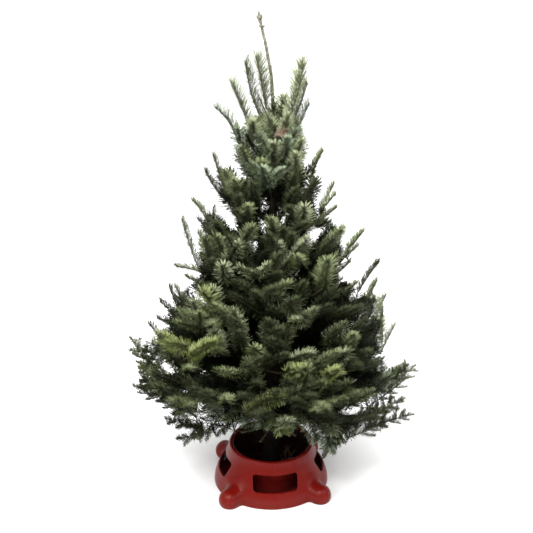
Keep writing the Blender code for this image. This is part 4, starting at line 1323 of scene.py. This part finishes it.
stem_lines, stem_radii = [], []
for grown in both:
    foot = grown["tier"]["bare"] if grown in limbs else 0.0
    along = [foot + (grown["end_share"] - foot) * k / STEM_STEPS for k in range(STEM_STEPS + 1)]
    stem_lines.append([at_share(grown["line"], share)[0] for share in along])
    stem_radii.append((limb_radius(grown, foot) * 0.9, limb_radius(grown, grown["end_share"])))
stems = tubes("stems", stem_lines, stem_radii, 8)
side_lines = [shoot["points"] for shoot in shoots if shoot["order"] == 1]
side_radii = [SIDE_TWIG_RADII] * len(side_lines) + [CONNECTOR_RADII] * len(connectors)
side_twigs = tubes("side_twigs", side_lines + connectors, side_radii, 5)
fine_lines = [shoot["points"] for shoot in shoots if shoot["order"] == 2]
fine_twigs = tubes("fine_twigs", fine_lines, [FINE_TWIG_RADII] * len(fine_lines), 4)
twig_bark = plain_material("twig_bark", TWIG_COLOUR, 0.75, TWIG_SHINE)
for piece in (stems, side_twigs, fine_twigs):
    piece.data.materials.append(twig_bark)
    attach(piece, "root")
    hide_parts(*foliage_nodes)


# The trunk: one stem from its flat cut in the bowl to the buds on the leader, with grey-brown bark that is
# rough and darkened low down, as damp and painted shade, and smooth and olive on the leader. It is drawn out
# ring by ring, with real relief.
TRUNK_SPACING = 0.0045
TRUNK_TOP = 0.938
TRUNK_SIDES, BOUGH_SIDES = 28, 14
TRUNK_RELIEF, BOUGH_RELIEF = (0.0011, 0.007), (0.0007, 0.005)
YOUNG_FROM, YOUNG_TO = 0.70, 0.80
# Low down the bark is darkened, as damp and as painted shade.
DAMP_SHADE_FROM, DAMP_SHADE_TO = 0.19, 0.11
OLD_BARK = (0.30, (0.009, 0.007, 0.005)), (0.52, (0.024, 0.018, 0.013)), (0.72, (0.060, 0.055, 0.040))
LEADER_BARK = (0.35, (0.078, 0.073, 0.048)), (0.68, (0.190, 0.186, 0.145))
DAMP_SHADE_COLOUR = (0.0030, 0.0024, 0.0020, 1.0)


def drawn_along(name, path, radii, sides):
    """A closed stem along a path: a circle, extruded from ring to ring and turned to the path."""
    bpy.ops.object.select_all(action="DESELECT")
    bpy.ops.mesh.primitive_circle_add(vertices=sides, radius=1.0, fill_type="NGON", location=(0, 0, 0))
    obj = bpy.context.object
    obj.name = name
    bpy.ops.object.mode_set(mode="EDIT")
    bpy.ops.mesh.select_all(action="SELECT")
    for step in range(len(path) - 1):
        bpy.ops.mesh.extrude_region_move(TRANSFORM_OT_translate={"value": (0, 0, 1)})
    bpy.ops.object.mode_set(mode="OBJECT")
    spots = positions(obj)
    rings = np.round(spots[:, 2]).astype(int)
    line = np.array([tuple(point) for point in path])
    tangent = np.gradient(line, axis=0)
    tangent /= np.linalg.norm(tangent, axis=1, keepdims=True)
    start = np.array([0.0, 0.0, 1.0]) if abs(tangent[0, 2]) < 0.8 else np.array([0.0, 1.0, 0.0])
    across = np.cross(tangent, start)
    across /= np.linalg.norm(across, axis=1, keepdims=True)
    upright = np.cross(tangent, across)
    radius = np.array(radii)[rings][:, None]
    placed = line[rings] + across[rings] * spots[:, :1] * radius + upright[rings] * spots[:, 1:2] * radius
    obj.data.vertices.foreach_set("co", placed.ravel())
    obj.data.update()
    normals_outwards(obj)
    return obj


def bark_relief(obj, depth, size):
    """Moves a stem's surface in and out, cloudily."""
    clouds = bpy.data.textures.new(obj.name + "_relief", "CLOUDS")
    clouds.noise_scale = size
    clouds.noise_depth = 3
    relief = obj.modifiers.new("relief", "DISPLACE")
    relief.texture = clouds
    relief.texture_coords = "LOCAL"
    relief.strength = depth
    relief.mid_level = 0.5
    apply_modifiers(obj)
    bpy.ops.object.shade_smooth_by_angle(angle=SHARP_FROM)


def colour_ramp(tree, share, *stops):
    """A colour that changes with a share, through stops of a position and a colour."""
    ramp = new_node(tree, "ValToRGB", "Color", Fac=share)
    elements = ramp.node.color_ramp.elements
    for place, _ in stops[1:-1]:
        elements.new(place)
    for element, (place, colour) in zip(elements, stops):
        element.position = place
        element.color = (*colour, 1.0)
    return ramp


def bark_material(name):
    """Bark: grey-brown with pale patches and dark cracks, olive on young wood, darker low down as damp and
    painted shade.
    """
    made, tree = new_material(name)
    place = new_node(tree, "TexCoord", "Object")
    height = new_node(tree, "SeparateXYZ", "Z", Vector=place)
    stretched = new_node(tree, "Mapping", "Vector", Vector=place, Scale=(1.0, 1.0, 0.35))
    patches = new_node(tree, "TexNoise", "Fac", Vector=stretched, Scale=70.0, Detail=5.0)
    old_tones = colour_ramp(tree, patches, *OLD_BARK)
    leader_patches = new_node(tree, "TexNoise", "Fac", Vector=place, Scale=160.0)
    leader_tones = colour_ramp(tree, leader_patches, *LEADER_BARK)
    young = new_node(tree, "MapRange", "Result", Value=height, From_Min=YOUNG_FROM, From_Max=YOUNG_TO)
    by_age = colour_mix(tree, young, old_tones, leader_tones)
    # Damp and painted shade: low down, inside the bowl, the bark goes near black.
    damp_and_shade = new_node(
        tree, "MapRange", "Result", Value=height, From_Min=DAMP_SHADE_FROM, From_Max=DAMP_SHADE_TO, To_Max=0.90)
    by_damp_and_shade = colour_mix(tree, damp_and_shade, by_age, DAMP_SHADE_COLOUR)
    grain = new_node(tree, "TexNoise", "Fac", Vector=stretched, Scale=420.0, Detail=4.0)
    relief = new_node(tree, "Bump", "Normal", Height=grain, Strength=0.5, Distance=0.0008)
    feed(tree.nodes["Principled BSDF"], {
        "Base Color": by_damp_and_shade, "Normal": relief, "Roughness": 0.85, "Specular IOR Level": 0.08})
    return made


bark = bark_material("bark")
trunk_low = TRUNK_LINE[0][0]
trunk_steps = int((TRUNK_TOP - trunk_low) / TRUNK_SPACING)
trunk_path = [trunk_at(trunk_low + (TRUNK_TOP - trunk_low) * k / trunk_steps) for k in range(trunk_steps + 1)]
trunk = drawn_along("trunk_bark", *zip(*trunk_path), TRUNK_SIDES)
bark_relief(trunk, *TRUNK_RELIEF)
trunk.data.materials.clear()
trunk.data.materials.append(bark)
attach(trunk, "root")
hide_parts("trunk")

# The boughs: tapering limbs with a collar where they leave the trunk, of the same bark, each bare only next
# to the trunk. Their ends go a little way into the foliage.
BOUGH_SPACING = 0.004
INTO_FOLIAGE = 0.02
COLLAR = 0.25
for grown in limbs:
    bare = grown["tier"]["bare"]
    if not bare:
        continue
    steps = max(8, int(bare * grown["whole"] / BOUGH_SPACING))
    shares = [k / steps for k in range(steps + 1)]
    path = [at_share(grown["line"], (bare + INTO_FOLIAGE) * share)[0] for share in shares]
    radii = [limb_radius(grown, bare * share) * (1.0 + COLLAR * (1 - share) ** 6) for share in shares]
    bough = drawn_along("bark_of_" + grown["name"], path, radii, BOUGH_SIDES)
    bark_relief(bough, *BOUGH_RELIEF)
    bough.data.materials.clear()
    bough.data.materials.append(bark)
    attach(bough, "root")
    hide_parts("bough_" + grown["name"])

# The buds: a cluster at the leader's tip, a smaller one just below it, small ones down the leader, and one at
# the tip of every shoot. They are brown, dull and rounded.
BUD_RINGS = ((0.0, 0.45), (0.35, 0.95), (0.7, 0.75), (1.0, 0.12))
TIP_BUDS, LOWER_BUDS, STEM_BUDS = 9, 5, 26
LOWER_WHORL_AT = 0.924
STEM_BUDS_FROM, STEM_BUDS_OVER = 0.80, 0.11
MIDDLE_BUD_LENGTH = 0.0150
BUD_ON_SHOOTS_OVER = 0.03


def bud_mesh(name, buds, sides):
    """Joined buds: each a short closed barrel of a few rings."""
    points, faces = [], []
    for tip, way, length, radius in buds:
        across = way.cross(Vector((0.3, 0.7, 0.2))).normalized()
        upright = way.cross(across)
        base = len(points)
        for share, wide in BUD_RINGS:
            for side in range(sides):
                turn = 2 * math.pi * side / sides
                spot = tip + way * (length * share) + across * (radius * wide * math.cos(turn))
                points.append(tuple(spot + upright * (radius * wide * math.sin(turn))))
        for ring in range(len(BUD_RINGS) - 1):
            for side in range(sides):
                after = (side + 1) % sides
                low = base + ring * sides
                faces.append((low + side, low + after, low + sides + after, low + sides + side))
        faces.append(tuple(base + side for side in reversed(range(sides))))
        last = base + (len(BUD_RINGS) - 1) * sides
        faces.append(tuple(last + side for side in range(sides)))
    mesh = bpy.data.meshes.new(name)
    mesh.from_pydata(points, [], faces)
    obj = bpy.data.objects.new(name, mesh)
    scene.collection.objects.link(obj)
    normals_outwards(obj)
    bpy.ops.object.shade_smooth()
    return obj


dice = random.Random(f"{SEED} buds")
leader_tip = trunk_at(TRUNK_TOP)[0]
leader_buds = []
for k in range(TIP_BUDS):
    turn = math.radians(40 * k + dice.uniform(-10, 10))
    spread = 0.0 if k == 0 else 0.72
    way = (UP + Vector((math.cos(turn), math.sin(turn), 0)) * spread + Vector((-0.15, 0, 0))).normalized()
    length = dice.uniform(0.0070, 0.0095) if spread else MIDDLE_BUD_LENGTH
    leader_buds.append((leader_tip + way * 0.0008, way, length, dice.uniform(0.0027, 0.0033)))
lower_whorl = trunk_at(LOWER_WHORL_AT)[0]
for k in range(LOWER_BUDS):
    turn = math.radians(72 * k + dice.uniform(-15, 15))
    way = (UP * 0.8 + Vector((math.cos(turn), math.sin(turn), 0))).normalized()
    length = dice.uniform(0.0055, 0.0075)
    leader_buds.append((lower_whorl + way * 0.0015, way, length, dice.uniform(0.0016, 0.0021)))
for k in range(STEM_BUDS):
    height = STEM_BUDS_FROM + STEM_BUDS_OVER * k / STEM_BUDS + dice.uniform(-0.001, 0.001)
    foot, thick = trunk_at(height)
    turn = math.radians(137.5 * k)
    out = Vector((math.cos(turn), math.sin(turn), 0))
    way = (out * 0.5 + UP).normalized()
    length = dice.uniform(0.003, 0.0055)
    leader_buds.append((foot + out * thick * 0.8, way, length, dice.uniform(0.0008, 0.0012)))
tip_buds = []
for shoot in shoots:
    if shoot["order"] > 0 and shoot["length"] > BUD_ON_SHOOTS_OVER:
        way = (shoot["points"][-1] - shoot["points"][-2]).normalized()
        length = dice.uniform(0.0028, 0.0042)
        tip_buds.append((shoot["points"][-1] - way * 0.0005, way, length, dice.uniform(0.0009, 0.0013)))
shoot_buds = bud_mesh("shoot_buds", tip_buds, 5)
shoot_buds.data.materials.append(bark)
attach(shoot_buds, "root")
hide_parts(*foliage_nodes)
crown_buds = bud_mesh("leader_buds", leader_buds, 10)
crown_buds.data.materials.append(bark)
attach(crown_buds, "root")
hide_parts("trunk")

# What has dropped into the bowl: dry needles and broken twigs on its floor, and a small bundle of brown twigs
# against its side at the right.
LITTER_NEEDLES, LITTER_REACH = 190, 0.060
BUNDLE_TWIGS, BUNDLE_REACH = 44, 0.066
LITTER_COLOUR, LITTER_SHINE = (0.105, 0.058, 0.030), 0.25
litter_lines, litter_radii = [], []
dice = random.Random(f"{SEED} litter")
for k in range(LITTER_NEEDLES):
    turn, out = dice.uniform(0, 2 * math.pi), LITTER_REACH * math.sqrt(dice.uniform(0.15, 1.0))
    height = BOWL_FLOOR_THICKNESS + dice.uniform(0.0008, 0.006)
    spot = Vector((out * math.cos(turn), out * math.sin(turn), height))
    heading = dice.uniform(0, 2 * math.pi)
    way = Vector((math.cos(heading), math.sin(heading), dice.uniform(-0.1, 0.2)))
    length = dice.uniform(0.008, 0.022)
    litter_lines.append([spot, spot + way * length * 0.5 + UP * 0.0008, spot + way * length])
    litter_radii.append((0.0007, 0.0004))
for k in range(BUNDLE_TWIGS):
    foot = Vector((dice.uniform(0.022, 0.054), dice.uniform(-0.010, 0.030), dice.uniform(0.014, 0.044)))
    way = Vector((dice.uniform(-1.0, 1.0), dice.uniform(-0.6, 0.6), dice.uniform(0.2, 0.9))).normalized()
    length = dice.uniform(0.018, 0.042)
    bend = Vector((dice.uniform(-0.004, 0.004), dice.uniform(-0.004, 0.004), 0))
    line = [foot, foot + way * length * 0.5 + bend, foot + way * length]
    if all(math.hypot(point.x, point.y) < BUNDLE_REACH for point in line):
        litter_lines.append(line)
        litter_radii.append((dice.uniform(0.0008, 0.0013), 0.0005))
litter = tubes("bowl_litter", litter_lines, litter_radii, 5)
litter.data.materials.append(plain_material("dry_litter", LITTER_COLOUR, 0.8, LITTER_SHINE))
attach(litter, "root")
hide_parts(*foliage_nodes)

# A tuft of dry brown needles that has caught among the shoots below the leader, where the photo shows it.
# The needles lie across each other, in one small joined mesh.
TUFT_SHOWN_AT = (281, 133)
TUFT_NEARER = 0.072
TUFT_NEEDLES = 46
TUFT_COLOUR = (0.210, 0.148, 0.106)
tuft_lines = []
tuft_place = from_picture(*TUFT_SHOWN_AT, TUFT_NEARER)
for k in range(TUFT_NEEDLES):
    off = Vector((dice.uniform(-0.010, 0.008), dice.uniform(-0.006, 0.004), dice.uniform(-0.006, 0.005)))
    foot = tuft_place + off
    way = Vector((dice.uniform(-1.0, 1.0), dice.uniform(-0.7, 0.3), dice.uniform(-0.4, 0.8))).normalized()
    length = dice.uniform(0.004, 0.009)
    tuft_lines.append([foot, foot + way * length * 0.5 + UP * 0.0006, foot + way * length])
tuft = tubes("dry_tuft", tuft_lines, [(0.0009, 0.0006)] * len(tuft_lines), 4)
tuft.data.materials.append(plain_material("dry_needles", TUFT_COLOUR, 0.7, LITTER_SHINE))
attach(tuft, "root")
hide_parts(*foliage_nodes)
